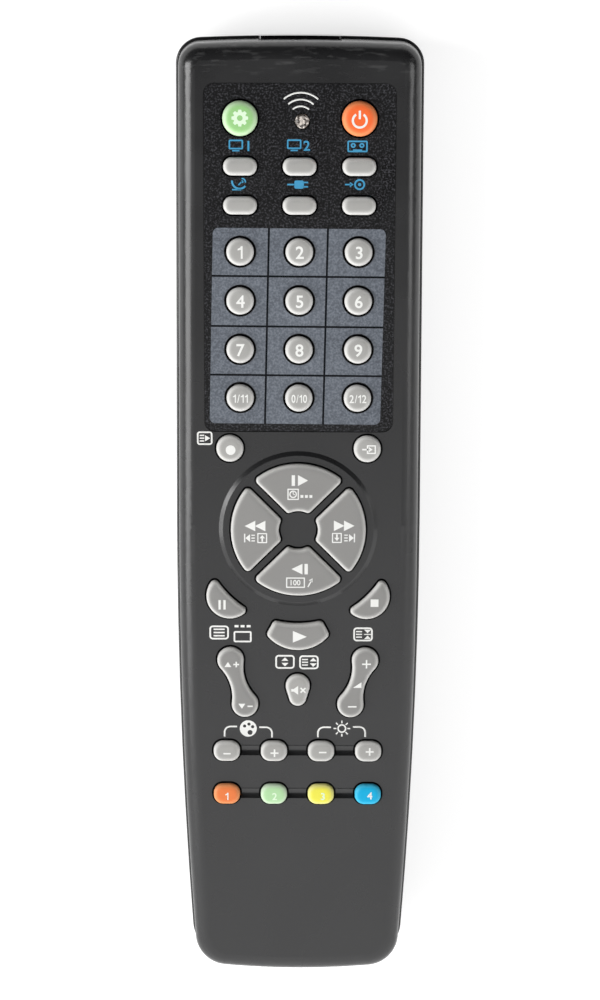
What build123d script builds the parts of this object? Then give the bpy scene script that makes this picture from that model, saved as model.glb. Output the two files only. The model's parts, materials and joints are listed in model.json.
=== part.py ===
"""Universal remote control: a hand-held infrared remote with forty rubber keys.

The remote lies on its back. +Z is up through the keys, +Y points to the infrared window,
and the origin is under the middle of the case. All lengths are millimetres.
"""

import os
from math import cos, hypot, radians, sin, sqrt, tan

from build123d import *

# Case, seen from above
length = 206.0
width = 53.0
window_end_narrowing = 0.8
tail_end_narrowing = 7.1
window_end_bulge = 0.7
tail_end_bulge = 1.4
window_corner_radius = 5.5
tail_corner_radius = 8.0

# Case, seen from the side
parting_height = 12.0
face_height = 22.5
wall = 2.0
lower_wall = 2.4
lower_floor = 2.0
reveal = 0.6
reveal_edge = 0.35
upper_draft = 2.0
lower_draft = 3.0
shoulder_radius = 3.6
belly_radius = 6.0
inner_edge = 1.4
inner_belly = 2.4
overrun = 3.0

# Lip that locates the two shells
lip_clearance = 0.15
lip_thickness = 0.8
lip_height = 1.2
lip_root = 2.5

# Keys: how a key fits the case
key_gap = 0.4
flange_width = 0.75
flange_thickness = 0.8
flange_clearance = 0.3
key_travel = 0.85
contact_gap = 0.05
pill_thickness = 0.4
pill_inset = 0.2
plunger_clearance = 0.35
rocker_flange_clearance = 0.75
rocker_contact_gap = 0.55
rocker_seat_drop = 0.5
rocker_plunger_clearance = 0.6

# Keys: heights above the face and rounding of the top edge
key_rise = 1.2
key_edge = 0.95
button_rise = 1.4
button_edge = 1.3
nav_rise = 1.3
nav_edge = 0.72
lower_rise = 1.4
lower_edge = 0.82

# Keys: sizes, and places as shares of the case's width and of half its length
column_pitch_share = 0.234
big_key_radius = 3.66
big_key_share = 0.839
device_key_size = (7.0, 3.75)
device_key_corner = 1.8
device_row_shares = (0.7427, 0.6641)
number_key_radius = 2.88
number_top_share = 0.57
number_pitch_share = 0.1003
side_key_radius = 2.88
side_key_share = 0.2755
side_key_margin = 0.22

nav_drop = 17.6
nav_key_outer = 14.4
nav_key_inner = 4.2
nav_key_spacing = 2.0
nav_outer_corner = 0.9
nav_inner_corner = 0.75
nav_plunger_reach = 9.6
plateau_radius = 17.0
plateau_rise = 0.55
plateau_slope = 0.85
plateau_edge = 0.25

ring_radius_share = 0.3925
crescent_radius = 5.0
crescent_corner = 0.9
crescent_plunger_offset = 1.8
play_top_half = 5.15
play_side_half = 6.8
play_side_drop = 2.5
play_depth = 5.9
play_corner = 0.9
play_plunger_drop = 2.9

rocker_share = 0.2453
rocker_drop = 34.0
rocker_lobe_radius = 2.85
rocker_reach = 5.2
rocker_waist = 3.4
rocker_lean = 17.4
mute_drop = 34.8
mute_top_radius = 2.6
mute_foot_radius = 1.85
mute_stretch = 2.6

row_pitch_share = 0.1938
row_key_size = (5.7, 4.5)
row_key_corner = 2.05
picture_row_drop = 15.6
colour_row_drop = 9.8
row_groove_width = 2.4
row_groove_depth = 0.5

plunger_radius = 1.4
nav_plunger_radius = 1.9

# Label film and signal lamp
label_side_margin = 3.84
label_head_margin = 3.47
label_foot_margin = 4.38
label_corner = 2.2
label_recess = 0.45
label_thickness = 0.3
label_gap = 0.15
lamp_drop = 0.6
lamp_shift = 0.5
lamp_radius = 1.5
lamp_flange_radius = 1.9
lamp_flange_height = 1.0
lamp_stand_off = 1.2
lamp_gap = 0.2
lamp_dome = 0.5
lamp_proud = 0.2
lamp_lead_pitch = 1.27

# Board, mat and contacts
board_underside = 15.0
board_thickness = 1.6
board_inset = 3.3
board_end_setback = 7.5
mat_thickness = 1.0
mat_seat_height = 0.8
mat_side_inset = 6.1
mat_corner = 2.0
mat_head_margin = 2.75
mat_tail_margin = 2.0
pad_thickness = 0.05
pad_margin = 0.3
fit_gap = 0.1

# Screws and posts
board_screw_insets = (7.5, 6.3)
board_screw_share = 0.6155
board_screw_drop = 6.4
board_post_radius = 2.3
board_screw_radius = 1.0
board_screw_head_radius = 1.9
board_screw_head_height = 1.2
board_screw_bite = 3.2
board_pilot_depth = 3.5
case_screw_setback = 13.2
case_post_radius = 2.8
case_screw_radius = 1.3
case_screw_head_radius = 2.3
case_screw_head_height = 1.6
case_screw_bite = 7.0
case_post_foot = 8.5
case_boss_radius = 4.0
case_head_seat = 4.4
screw_slot_width = 0.5
screw_slot_depth = 0.6
post_clearance = 0.4
support_inset = 9.5
support_setback = 17.0
support_share = 0.1165
support_radius = 2.0
bay_rib_size = (16.0, 1.6)

# Infrared window and its lamp
window_size = (17.6, 7.4)
window_foot = 6.6
window_corner = 0.8
window_gap = 0.12
window_flange = 1.3
window_flange_thickness = 1.2
window_flange_setback = 4.2
ir_radius = 2.5
ir_length = 8.5
ir_rim_radius = 2.9
ir_rim = 1.0
ir_height = 9.9
ir_tip_setback = 4.8
lead_width = 0.5
lead_pitch = 2.54
lead_run = 2.0

# Battery bay, cells and contacts
cell_radius = 5.25
cell_length = 44.5
cell_nub_radius = 1.9
cell_nub = 1.0
cell_edge = 0.4
cell_gap = 0.5
cell_side_gap = 0.5
cell_door_gap = 0.35
cell_roof_gap = 0.25
bay_wall = 1.4
bay_roof = 1.2
bay_foot_setback = 24.0
contact_thickness = 0.4
contact_size = (8.0, 8.0)
contact_rim = 0.1
spring_length = 4.6
spring_wire = 0.6
spring_base_radius = 3.2
spring_tip_radius = 2.0
spring_turns = 3

# Battery door
door_head_margin = 6.6
door_half_width = 15.5
door_inset = 0.1
door_thickness = 1.7
door_gap = 0.25
door_roof_gap = 0.2
rail_width = 0.7
rail_thickness = 0.85
rail_gap = 0.2
tongue_half_width = 11.0
tongue_reach = 1.1
frame_margin = 2.0
frame_thickness = 1.6
grip_count = 5
grip_pitch = 2.4
grip_drop = 12.0
grip_size = (15.0, 1.2)
grip_depth = 0.5
arrow_drop = 28.5
arrow_size = (7.0, 4.5)
arrow_depth = 0.3

# Components on the underside of the board
chip_size = (7.5, 17.9, 2.3)
chip_y = 45.0
chip_edge = 0.3
chip_lead_count = 14
chip_lead_pitch = 1.27
chip_lead_width = 0.42
chip_lead_reach = 1.45
chip_lead_thickness = 0.2
resonator_size = (7.4, 3.2, 5.2)
resonator_place = (-12.0, 26.0)
resonator_edge = 0.8
capacitor_radius = 2.5
capacitor_height = 7.0
capacitor_place = (12.0, 26.0)
transistor_radius = 2.3
transistor_flat = 1.3
transistor_height = 4.6
transistor_stand_off = 1.4
transistor_x = 8.0
transistor_setback = 15.5

# Heights worked out from the sizes above
ceiling = face_height - wall
board_top = board_underside + board_thickness
pad_top = board_top + pad_thickness
mat_top = board_top + mat_thickness
seat_top = mat_top + mat_seat_height
pill_foot = pad_top + contact_gap + key_travel
plateau_top = face_height + plateau_rise
label_floor = face_height - label_recess
door_foot = door_inset
door_top = door_inset + door_thickness
channel_roof = door_top + door_roof_gap
frame_top = channel_roof + frame_thickness
cell_height = door_top + cell_door_gap + cell_radius
bay_roof_foot = cell_height + cell_radius + cell_roof_gap
bay_roof_top = bay_roof_foot + bay_roof
cell_x = cell_radius + cell_side_gap / 2
bay_half_width = 2 * cell_radius + cell_side_gap
bay_length = cell_length + spring_length + 2 * contact_thickness + cell_gap

# Places across the case worked out from the sizes above
window_end_width = width - window_end_narrowing
tail_end_width = width - tail_end_narrowing
column_pitch = width * column_pitch_share
side_key_x = width * side_key_share
ring_radius = width * ring_radius_share
rocker_x = width * rocker_share
row_pitch = width * row_pitch_share
label_half_width = column_pitch + big_key_radius + label_side_margin
mat_half_width = width / 2 - mat_side_inset

# Places along the case, from the window end down to the tail
window_flange_y = length / 2 - window_flange_setback
ir_tip_y = length / 2 - ir_tip_setback
board_end_y = length / 2 - board_end_setback
transistor_place = (transistor_x, board_end_y - transistor_setback)
big_key_y = length / 2 * big_key_share
lamp_y = big_key_y - lamp_drop
lamp_place = (lamp_shift, lamp_y)
device_rows_y = tuple(length / 2 * share for share in device_row_shares)
number_top_y = length / 2 * number_top_share
number_pitch = length / 2 * number_pitch_share
label_head_y = big_key_y + big_key_radius + label_head_margin
label_foot_y = number_top_y - 3 * number_pitch - number_key_radius - label_foot_margin
side_key_y = label_foot_y - label_gap - side_key_margin - key_gap - side_key_radius
nav_y = side_key_y - nav_drop
rocker_y = nav_y - rocker_drop
mute_y = nav_y - mute_drop
picture_row_y = rocker_y - picture_row_drop
colour_row_y = picture_row_y - colour_row_drop
mat_head_y = big_key_y + big_key_radius + mat_head_margin
mat_foot_y = colour_row_y - row_key_size[1] / 2 - mat_tail_margin
case_screw_y = case_screw_setback - length / 2
bay_foot_y = bay_foot_setback - length / 2
bay_head_y = bay_foot_y + bay_length
door_top_y = bay_head_y + door_head_margin
board_screw_places = [
    (side * (width / 2 - inset), y)
    for inset, y in zip(
        board_screw_insets, (length / 2 * board_screw_share, rocker_y - board_screw_drop)
    )
    for side in (1, -1)
]
support_places = [
    (side * (width / 2 - support_inset), y)
    for y in (length / 2 - support_setback, length / 2 * support_share)
    for side in (1, -1)
]


# Plan outlines
def case_outline(inset):
    """The case seen from above, drawn in by inset."""
    corner_top = (window_end_width / 2 - inset, length / 2 - window_end_bulge - inset)
    corner_tail = (tail_end_width / 2 - inset, -length / 2 + tail_end_bulge + inset)
    widest = (width / 2 - inset, 0)
    ends_y = length / 2 - inset
    with BuildSketch() as outline:
        with BuildLine():
            upper_side = Line(corner_top, widest)
            TangentArc(widest, corner_tail, tangent=upper_side % 1)
            mirror(about=Plane.YZ)
            ThreePointArc((-corner_top[0], corner_top[1]), (0, ends_y), corner_top)
            ThreePointArc((-corner_tail[0], corner_tail[1]), (0, -ends_y), corner_tail)
        make_face()
        fillet(outline.vertices().sort_by(Axis.Y)[-2:], radius=window_corner_radius - inset)
        fillet(outline.vertices().sort_by(Axis.Y)[:2], radius=tail_corner_radius - inset)
    return outline.sketch


def grown(profile, amount):
    """A plan profile made larger all round."""
    with BuildSketch() as larger:
        add(profile)
        offset(amount=amount)
    return larger.sketch


def disc(place, radius):
    with BuildSketch() as round_key:
        with Locations(place):
            Circle(radius)
    return round_key.sketch


def bar(place, size, corner):
    with BuildSketch() as bar_key:
        with Locations(place):
            RectangleRounded(*size, radius=corner)
    return bar_key.sketch


def sector(turn):
    """One quarter of the navigation cluster, turned from the upper one."""
    apex = nav_key_spacing / sqrt(2)
    with BuildSketch() as quarter:
        Circle(nav_key_outer)
        Circle(nav_key_inner, mode=Mode.SUBTRACT)
        Polygon(
            (0, apex),
            (nav_key_outer, apex + nav_key_outer),
            (-nav_key_outer, apex + nav_key_outer),
            align=None,
            mode=Mode.INTERSECT,
        )
        fillet(quarter.vertices().sort_by(Axis.Y)[-2:], radius=nav_outer_corner)
        fillet(quarter.vertices().sort_by(Axis.Y)[:2], radius=nav_inner_corner)
    with BuildSketch() as placed:
        with Locations(Location((0, nav_y, 0), (0, 0, turn))):
            add(quarter.sketch)
    return placed.sketch


def crescent(side):
    """The half disc beside the navigation cluster; side is -1 for the left one."""
    reach = ring_radius / sqrt(2)
    with BuildSketch() as half_disc:
        with Locations((side * reach, nav_y - reach)):
            Circle(crescent_radius)
        with Locations((0, nav_y)):
            Circle(ring_radius, mode=Mode.SUBTRACT)
        tips = half_disc.vertices().sort_by(lambda v: hypot(v.X, v.Y - nav_y))[:2]
        fillet(tips, radius=crescent_corner)
    return half_disc.sketch


def play_bowl():
    """The wide key under the cluster: its upper edge follows the cluster."""
    top_drop = sqrt(ring_radius**2 - play_top_half**2)
    with BuildSketch() as bowl:
        with Locations((0, nav_y)):
            with BuildLine():
                ThreePointArc(
                    (-play_top_half, nav_y - top_drop),
                    (0, nav_y - ring_radius),
                    (play_top_half, nav_y - top_drop),
                )
                Line(
                    (play_top_half, nav_y - top_drop),
                    (play_side_half, nav_y - ring_radius - play_side_drop),
                )
                ThreePointArc(
                    (play_side_half, nav_y - ring_radius - play_side_drop),
                    (0, nav_y - ring_radius - play_depth),
                    (-play_side_half, nav_y - ring_radius - play_side_drop),
                )
                Line(
                    (-play_side_half, nav_y - ring_radius - play_side_drop),
                    (-play_top_half, nav_y - top_drop),
                )
            make_face()
        fillet(bowl.vertices(), radius=play_corner)
    return bowl.sketch


def rocker_outline(side):
    """Two round lobes joined by a narrow waist, leaning outwards at the top."""
    half_waist = rocker_waist / 2
    flank = (rocker_reach**2 + half_waist**2 - rocker_lobe_radius**2) / (
        2 * (rocker_lobe_radius - half_waist)
    )
    share = rocker_lobe_radius / (rocker_lobe_radius + flank)
    touch_x = (half_waist + flank) * share
    touch_y = rocker_reach * (1 - share)
    tip = rocker_reach + rocker_lobe_radius
    with BuildSketch() as lobes:
        with BuildLine():
            ThreePointArc((touch_x, touch_y), (0, tip), (-touch_x, touch_y))
            ThreePointArc((-touch_x, touch_y), (-half_waist, 0), (-touch_x, -touch_y))
            ThreePointArc((-touch_x, -touch_y), (0, -tip), (touch_x, -touch_y))
            ThreePointArc((touch_x, -touch_y), (half_waist, 0), (touch_x, touch_y))
        make_face()
    with BuildSketch() as placed:
        with Locations(Location((side * rocker_x, rocker_y, 0), (0, 0, -side * rocker_lean))):
            add(lobes.sketch)
    return placed.sketch


def mute_egg():
    """An egg with its wide end towards the window."""
    lean = (mute_top_radius - mute_foot_radius) / mute_stretch
    level = sqrt(1 - lean**2)
    top_y = mute_y
    foot_y = mute_y - mute_stretch
    high = (mute_top_radius * level, top_y - mute_top_radius * lean)
    low = (mute_foot_radius * level, foot_y - mute_foot_radius * lean)
    with BuildSketch() as egg:
        with BuildLine():
            ThreePointArc(high, (0, top_y + mute_top_radius), (-high[0], high[1]))
            Line((-high[0], high[1]), (-low[0], low[1]))
            ThreePointArc((-low[0], low[1]), (0, foot_y - mute_foot_radius), low)
            Line(low, high)
        make_face()
    return egg.sketch


# Key table
def key(name, profile, plungers, rise, edge, base=face_height, reach=plunger_radius, rocks=False):
    """One key: its plan profile, the places of its plungers and its height."""
    return {
        "name": name,
        "profile": profile,
        "plungers": plungers,
        "top": base + rise,
        "edge": edge,
        "reach": reach,
        "rocks": rocks,
    }


def number_keys():
    names = ("one", "two", "three", "four", "five", "six", "seven", "eight", "nine")
    names = names + ("eleven", "zero", "twelve")
    keys = []
    for index, name in enumerate(names):
        place = ((index % 3 - 1) * column_pitch, number_top_y - index // 3 * number_pitch)
        profile = disc(place, number_key_radius)
        keys.append(key(f"key_{name}", profile, [place], key_rise, key_edge))
    return keys


def device_keys():
    keys = []
    for row, y in enumerate(device_rows_y):
        for column in range(3):
            place = ((column - 1) * column_pitch, y)
            profile = bar(place, device_key_size, device_key_corner)
            name = f"device_key_{row * 3 + column + 1}"
            keys.append(key(name, profile, [place], key_rise, key_edge))
    return keys


def navigation_keys():
    keys = []
    for name, turn in (("up", 0), ("left", 90), ("down", 180), ("right", 270)):
        place = (
            -nav_plunger_reach * sin(radians(turn)),
            nav_y + nav_plunger_reach * cos(radians(turn)),
        )
        keys.append(
            key(
                f"{name}_key", sector(turn), [place], nav_rise, nav_edge, plateau_top, nav_plunger_radius
            )
        )
    return keys


def transport_keys():
    reach = (ring_radius + crescent_plunger_offset) / sqrt(2)
    keys = []
    for name, side in (("pause", -1), ("stop", 1)):
        place = (side * reach, nav_y - reach)
        keys.append(key(f"{name}_key", crescent(side), [place], lower_rise, lower_edge))
    place = (0, nav_y - ring_radius - play_plunger_drop)
    keys.append(key("play_key", play_bowl(), [place], lower_rise, lower_edge))
    return keys


def rocker_keys():
    keys = []
    for name, side in (("channel", -1), ("volume", 1)):
        along = (side * sin(radians(rocker_lean)), cos(radians(rocker_lean)))
        places = [
            (
                side * rocker_x + end * rocker_reach * along[0],
                rocker_y + end * rocker_reach * along[1],
            )
            for end in (1, -1)
        ]
        keys.append(
            key(
                f"{name}_rocker", rocker_outline(side), places, lower_rise, lower_edge, rocks=True
            )
        )
    return keys


def row_keys():
    rows = (
        (picture_row_y, ("contrast_down", "contrast_up", "brightness_down", "brightness_up")),
        (colour_row_y, ("red", "green", "yellow", "blue")),
    )
    keys = []
    for y, names in rows:
        for column, name in enumerate(names):
            place = ((column - 1.5) * row_pitch, y)
            profile = bar(place, row_key_size, row_key_corner)
            keys.append(key(f"{name}_key", profile, [place], lower_rise, lower_edge))
    return keys


def all_keys():
    keys = []
    for name, side in (("set", -1), ("power", 1)):
        place = (side * column_pitch, big_key_y)
        profile = disc(place, big_key_radius)
        keys.append(key(f"{name}_key", profile, [place], button_rise, button_edge))
    keys += device_keys() + number_keys()
    for name, side in (("record", -1), ("input", 1)):
        place = (side * side_key_x, side_key_y)
        profile = disc(place, side_key_radius)
        keys.append(key(f"{name}_key", profile, [place], key_rise, key_edge))
    keys += navigation_keys() + transport_keys() + rocker_keys()
    mute_place = (0, mute_y - mute_stretch / 2)
    keys.append(key("mute_key", mute_egg(), [mute_place], lower_rise, lower_edge))
    return keys + row_keys()


keys = all_keys()
os.makedirs("parts", exist_ok=True)


def save(part, name):
    part.label = name
    export_step(part, f"parts/{name}.step")


# Case blocks
def drafted_block(inset, end, draft):
    """A block from the parting plane to the height end, narrowing by the draft angle."""
    narrowing = abs(end - parting_height) * tan(radians(draft))
    with BuildPart() as block:
        with BuildSketch(Plane.XY.offset(parting_height)):
            add(case_outline(inset))
        with BuildSketch(Plane.XY.offset(end)):
            add(case_outline(inset + narrowing))
        loft(ruled=True)
    return block.part


def upper_block(inset, top, edge):
    """The upper half as a solid block, drawn in by inset, with a rounded shoulder."""
    with BuildPart() as block:
        add(drafted_block(reveal + inset, top, upper_draft))
        fillet(block.faces().sort_by(Axis.Z)[-1].edges(), radius=edge)
    return block.part


def lower_block(inset, foot, edge):
    """The lower half as a solid block, drawn in by inset, with a rounded belly."""
    with BuildPart() as block:
        add(drafted_block(inset, foot, lower_draft))
        fillet(block.faces().sort_by(Axis.Z)[0].edges(), radius=edge)
    return block.part


def window_block(grow):
    """The infrared window's front block before it is trimmed, grown by grow."""
    half_height = window_size[1] / 2
    with BuildPart() as block:
        with BuildSketch(Plane.XZ.offset(-window_flange_y)):
            with Locations((0, window_foot + half_height)):
                RectangleRounded(
                    window_size[0] + 2 * grow, window_size[1] + 2 * grow, radius=window_corner
                )
        extrude(amount=-(length / 2 - window_flange_y + overrun))
    return block.part


def label_outline(grow):
    """The label film seen from above, grown by grow."""
    with BuildSketch() as outline:
        with Locations((0, (label_head_y + label_foot_y) / 2)):
            RectangleRounded(
                2 * (label_half_width + grow),
                label_head_y - label_foot_y + 2 * grow,
                radius=label_corner + grow,
            )
    return outline.sketch


# Upper shell
with BuildPart() as top_shell:
    add(upper_block(0, face_height, shoulder_radius))
    add(upper_block(wall, ceiling, inner_edge), mode=Mode.SUBTRACT)
    with Locations((0, nav_y, face_height - wall)):
        Cylinder(plateau_radius, wall, align=(Align.CENTER, Align.CENTER, Align.MIN))
    with Locations((0, nav_y, face_height)):
        Cone(
            plateau_radius,
            plateau_radius - plateau_slope,
            plateau_rise,
            align=(Align.CENTER, Align.CENTER, Align.MIN),
        )
    fillet(top_shell.faces().sort_by(Axis.Z)[-1].edges(), radius=plateau_edge)
    with BuildSketch(Plane.XY.offset(label_floor)):
        add(label_outline(label_gap))
    extrude(amount=label_recess + overrun, mode=Mode.SUBTRACT)
    groove_radius = ((row_groove_width / 2) ** 2 + row_groove_depth**2) / (2 * row_groove_depth)
    for row_y in (picture_row_y, colour_row_y):
        with Locations((0, row_y, face_height - row_groove_depth + groove_radius)):
            Cylinder(groove_radius, 3 * row_pitch, rotation=(0, 90, 0), mode=Mode.SUBTRACT)
    with BuildSketch(Plane.XY.offset(board_top)):
        with Locations(*board_screw_places):
            Circle(board_post_radius)
    extrude(amount=ceiling - board_top)
    with BuildSketch(Plane.XY.offset(board_top)):
        with Locations(*board_screw_places):
            Circle(board_screw_radius)
    extrude(amount=board_pilot_depth, mode=Mode.SUBTRACT)
    with BuildSketch(Plane.XY.offset(case_post_foot)):
        with Locations((0, case_screw_y)):
            Circle(case_post_radius)
    extrude(amount=ceiling - case_post_foot)
    with BuildSketch(Plane.XY.offset(case_post_foot)):
        with Locations((0, case_screw_y)):
            Circle(case_screw_radius)
    extrude(amount=case_screw_bite + post_clearance, mode=Mode.SUBTRACT)
    with BuildSketch(Plane.XY.offset(ceiling - overrun)):
        for item in keys:
            add(grown(item["profile"], key_gap))
        with Locations(lamp_place):
            Circle(lamp_radius + lamp_gap)
    extrude(amount=wall + plateau_rise + 2 * overrun, mode=Mode.SUBTRACT)
    add(window_block(window_gap), mode=Mode.SUBTRACT)
save(top_shell.part, "top_shell")

# Lower shell with its battery bay
with BuildPart() as bottom_shell:
    add(lower_block(0, 0, belly_radius))
    fillet(bottom_shell.faces().sort_by(Axis.Z)[-1].edges(), radius=reveal_edge)
    add(lower_block(lower_wall, lower_floor, inner_belly), mode=Mode.SUBTRACT)
    lip_outside = reveal + wall + lip_clearance
    with BuildSketch(Plane.XY.offset(parting_height - lip_root)):
        add(case_outline(lower_wall - lip_clearance))
        add(case_outline(lip_outside + lip_thickness), mode=Mode.SUBTRACT)
    extrude(amount=lip_root)
    with BuildSketch(Plane.XY.offset(parting_height - lip_clearance)):
        add(case_outline(lip_outside))
        add(case_outline(lip_outside + lip_thickness), mode=Mode.SUBTRACT)
    extrude(amount=lip_height + lip_clearance)
    frame_half_width = door_half_width + rail_width + frame_margin
    with BuildSketch(Plane.XY.offset(lower_floor - lip_clearance)):
        add(case_outline(lower_wall))
        with Locations((0, door_top_y + frame_margin + tongue_reach)):
            Rectangle(
                2 * frame_half_width, length, align=(Align.CENTER, Align.MAX), mode=Mode.INTERSECT
            )
    extrude(amount=frame_top - lower_floor + lip_clearance)
    with Locations((0, (bay_foot_y + bay_head_y) / 2, channel_roof)):
        Box(
            2 * (bay_half_width + bay_wall),
            bay_length + 2 * bay_wall,
            bay_roof_top - channel_roof,
            align=(Align.CENTER, Align.CENTER, Align.MIN),
        )
    with Locations((0, case_screw_y, channel_roof)):
        Cylinder(
            case_boss_radius,
            case_post_foot - channel_roof,
            align=(Align.CENTER, Align.CENTER, Align.MIN),
        )
    with BuildSketch(Plane.XY.offset(lower_floor - lip_clearance)):
        with Locations(*support_places):
            Circle(support_radius)
    extrude(amount=board_underside - lower_floor + lip_clearance)
    for rib_y in (bay_foot_y + bay_rib_size[0] / 2, bay_head_y - bay_rib_size[0] / 2):
        with Locations((0, rib_y, bay_roof_top)):
            Box(
                *bay_rib_size,
                board_underside - bay_roof_top,
                align=(Align.CENTER, Align.CENTER, Align.MIN),
            )
    with Locations((0, (bay_foot_y + bay_head_y) / 2, bay_roof_foot)):
        Box(
            2 * bay_half_width,
            bay_length,
            bay_roof_foot + overrun,
            align=(Align.CENTER, Align.CENTER, Align.MAX),
            mode=Mode.SUBTRACT,
        )
    rail_foot = door_top - rail_thickness
    with Locations((0, door_top_y + door_gap, rail_foot - rail_gap)):
        Box(
            2 * (door_half_width + door_gap),
            length,
            rail_foot + overrun,
            align=(Align.CENTER, Align.MAX, Align.MAX),
            mode=Mode.SUBTRACT,
        )
    with Locations((0, door_top_y + door_gap, channel_roof)):
        Box(
            2 * (door_half_width + rail_width + door_gap),
            length,
            rail_thickness + door_roof_gap + rail_gap,
            align=(Align.CENTER, Align.MAX, Align.MAX),
            mode=Mode.SUBTRACT,
        )
        Box(
            2 * (tongue_half_width + door_gap),
            tongue_reach + door_gap,
            rail_thickness + door_roof_gap + rail_gap,
            align=(Align.CENTER, Align.MIN, Align.MAX),
            mode=Mode.SUBTRACT,
        )
    with Locations((0, case_screw_y, case_head_seat)):
        Cylinder(
            case_screw_head_radius + post_clearance,
            case_head_seat,
            align=(Align.CENTER, Align.CENTER, Align.MAX),
            mode=Mode.SUBTRACT,
        )
        Cylinder(
            case_screw_radius + fit_gap,
            case_post_foot + overrun,
            align=(Align.CENTER, Align.CENTER, Align.MIN),
            mode=Mode.SUBTRACT,
        )
    add(window_block(window_gap), mode=Mode.SUBTRACT)
    with Locations((0, window_flange_y - window_gap, parting_height - lip_root - lip_clearance)):
        Box(
            window_size[0] + 2 * window_flange + 2 * cell_gap,
            length / 2 - lower_wall - window_flange_y + window_gap,
            lip_root + lip_height + overrun,
            align=(Align.CENTER, Align.MIN, Align.MIN),
            mode=Mode.SUBTRACT,
        )
save(bottom_shell.part, "bottom_shell")

# Battery door, which slides off over the tail
with BuildPart() as battery_door:
    add(lower_block(0, 0, belly_radius))
    with Locations((0, door_top_y, door_foot)):
        Box(
            2 * door_half_width,
            length,
            door_thickness,
            align=(Align.CENTER, Align.MAX, Align.MIN),
            mode=Mode.INTERSECT,
        )
    tail_reach = -battery_door.vertices().group_by(Axis.Z)[-1].sort_by(Axis.Y)[0].Y
    with Locations((0, door_top_y, door_top)):
        Box(
            2 * (door_half_width + rail_width),
            tail_reach + door_top_y - belly_radius,
            rail_thickness,
            align=(Align.CENTER, Align.MAX, Align.MAX),
        )
        Box(
            2 * tongue_half_width,
            tongue_reach,
            rail_thickness,
            align=(Align.CENTER, Align.MIN, Align.MAX),
        )
    for index in range(grip_count):
        with BuildSketch(Plane.XY.offset(door_foot)):
            with Locations((0, door_top_y - grip_drop - index * grip_pitch)):
                SlotOverall(*grip_size)
        extrude(amount=grip_depth, mode=Mode.SUBTRACT)
    with BuildSketch(Plane.XY.offset(door_foot)):
        with Locations((0, door_top_y - arrow_drop)):
            Polygon(
                (-arrow_size[0] / 2, arrow_size[1] / 2),
                (0, -arrow_size[1] / 2),
                (arrow_size[0] / 2, arrow_size[1] / 2),
                align=None,
            )
    extrude(amount=arrow_depth, mode=Mode.SUBTRACT)
save(battery_door.part, "battery_door")

# Infrared window, held by its flange behind the two end walls
with BuildPart() as ir_window:
    add(window_block(0))
    with BuildSketch(Plane.XY):
        add(case_outline(0))
    extrude(amount=face_height, mode=Mode.INTERSECT)
    with BuildSketch(Plane.XZ.offset(-window_flange_y)):
        with Locations((0, window_foot + window_size[1] / 2)):
            RectangleRounded(
                window_size[0] + 2 * window_flange,
                window_size[1] + 2 * window_flange,
                radius=window_corner,
            )
    extrude(amount=-window_flange_thickness)
save(ir_window.part, "ir_window")

# Label film in its recess
with BuildPart() as face_label:
    with BuildSketch(Plane.XY.offset(label_floor)):
        add(label_outline(0))
        for item in keys:
            if item["plungers"][0][1] > label_foot_y:
                add(grown(item["profile"], key_gap), mode=Mode.SUBTRACT)
        with Locations(lamp_place):
            Circle(lamp_radius + lamp_gap, mode=Mode.SUBTRACT)
    extrude(amount=label_thickness)
save(face_label.part, "face_label")

# Signal lamp standing on the board under the face
with BuildPart() as signal_lamp:
    lamp_foot = board_top + lamp_stand_off
    lamp_top = face_height + lamp_proud
    with Locations((*lamp_place, lamp_foot)):
        Cylinder(
            lamp_flange_radius, lamp_flange_height, align=(Align.CENTER, Align.CENTER, Align.MIN)
        )
        Cylinder(lamp_radius, lamp_top - lamp_foot, align=(Align.CENTER, Align.CENTER, Align.MIN))
    fillet(signal_lamp.faces().sort_by(Axis.Z)[-1].edges(), radius=lamp_dome)
    with BuildSketch(Plane.XY.offset(board_top)):
        with Locations(*[(lamp_shift + side * lamp_lead_pitch / 2, lamp_y) for side in (-1, 1)]):
            Rectangle(lead_width, lead_width)
    extrude(amount=lamp_stand_off)
save(signal_lamp.part, "signal_lamp")

# Circuit board
with BuildPart() as circuit_board:
    with BuildSketch(Plane.XY.offset(board_underside)):
        add(case_outline(board_inset))
        with Locations((0, board_end_y)):
            Rectangle(width, length, align=(Align.CENTER, Align.MAX), mode=Mode.INTERSECT)
        with Locations(*board_screw_places):
            Circle(board_screw_radius + fit_gap, mode=Mode.SUBTRACT)
        with Locations((0, case_screw_y)):
            Circle(case_post_radius + post_clearance, mode=Mode.SUBTRACT)
    extrude(amount=board_thickness)
save(circuit_board.part, "circuit_board")

# Carbon pads printed on the board, one under each plunger
with BuildPart() as carbon_pads:
    with BuildSketch(Plane.XY.offset(board_top)):
        for item in keys:
            with Locations(*item["plungers"]):
                Circle(item["reach"] + pad_margin)
    extrude(amount=pad_thickness)
save(carbon_pads.part, "carbon_pads")

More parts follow.
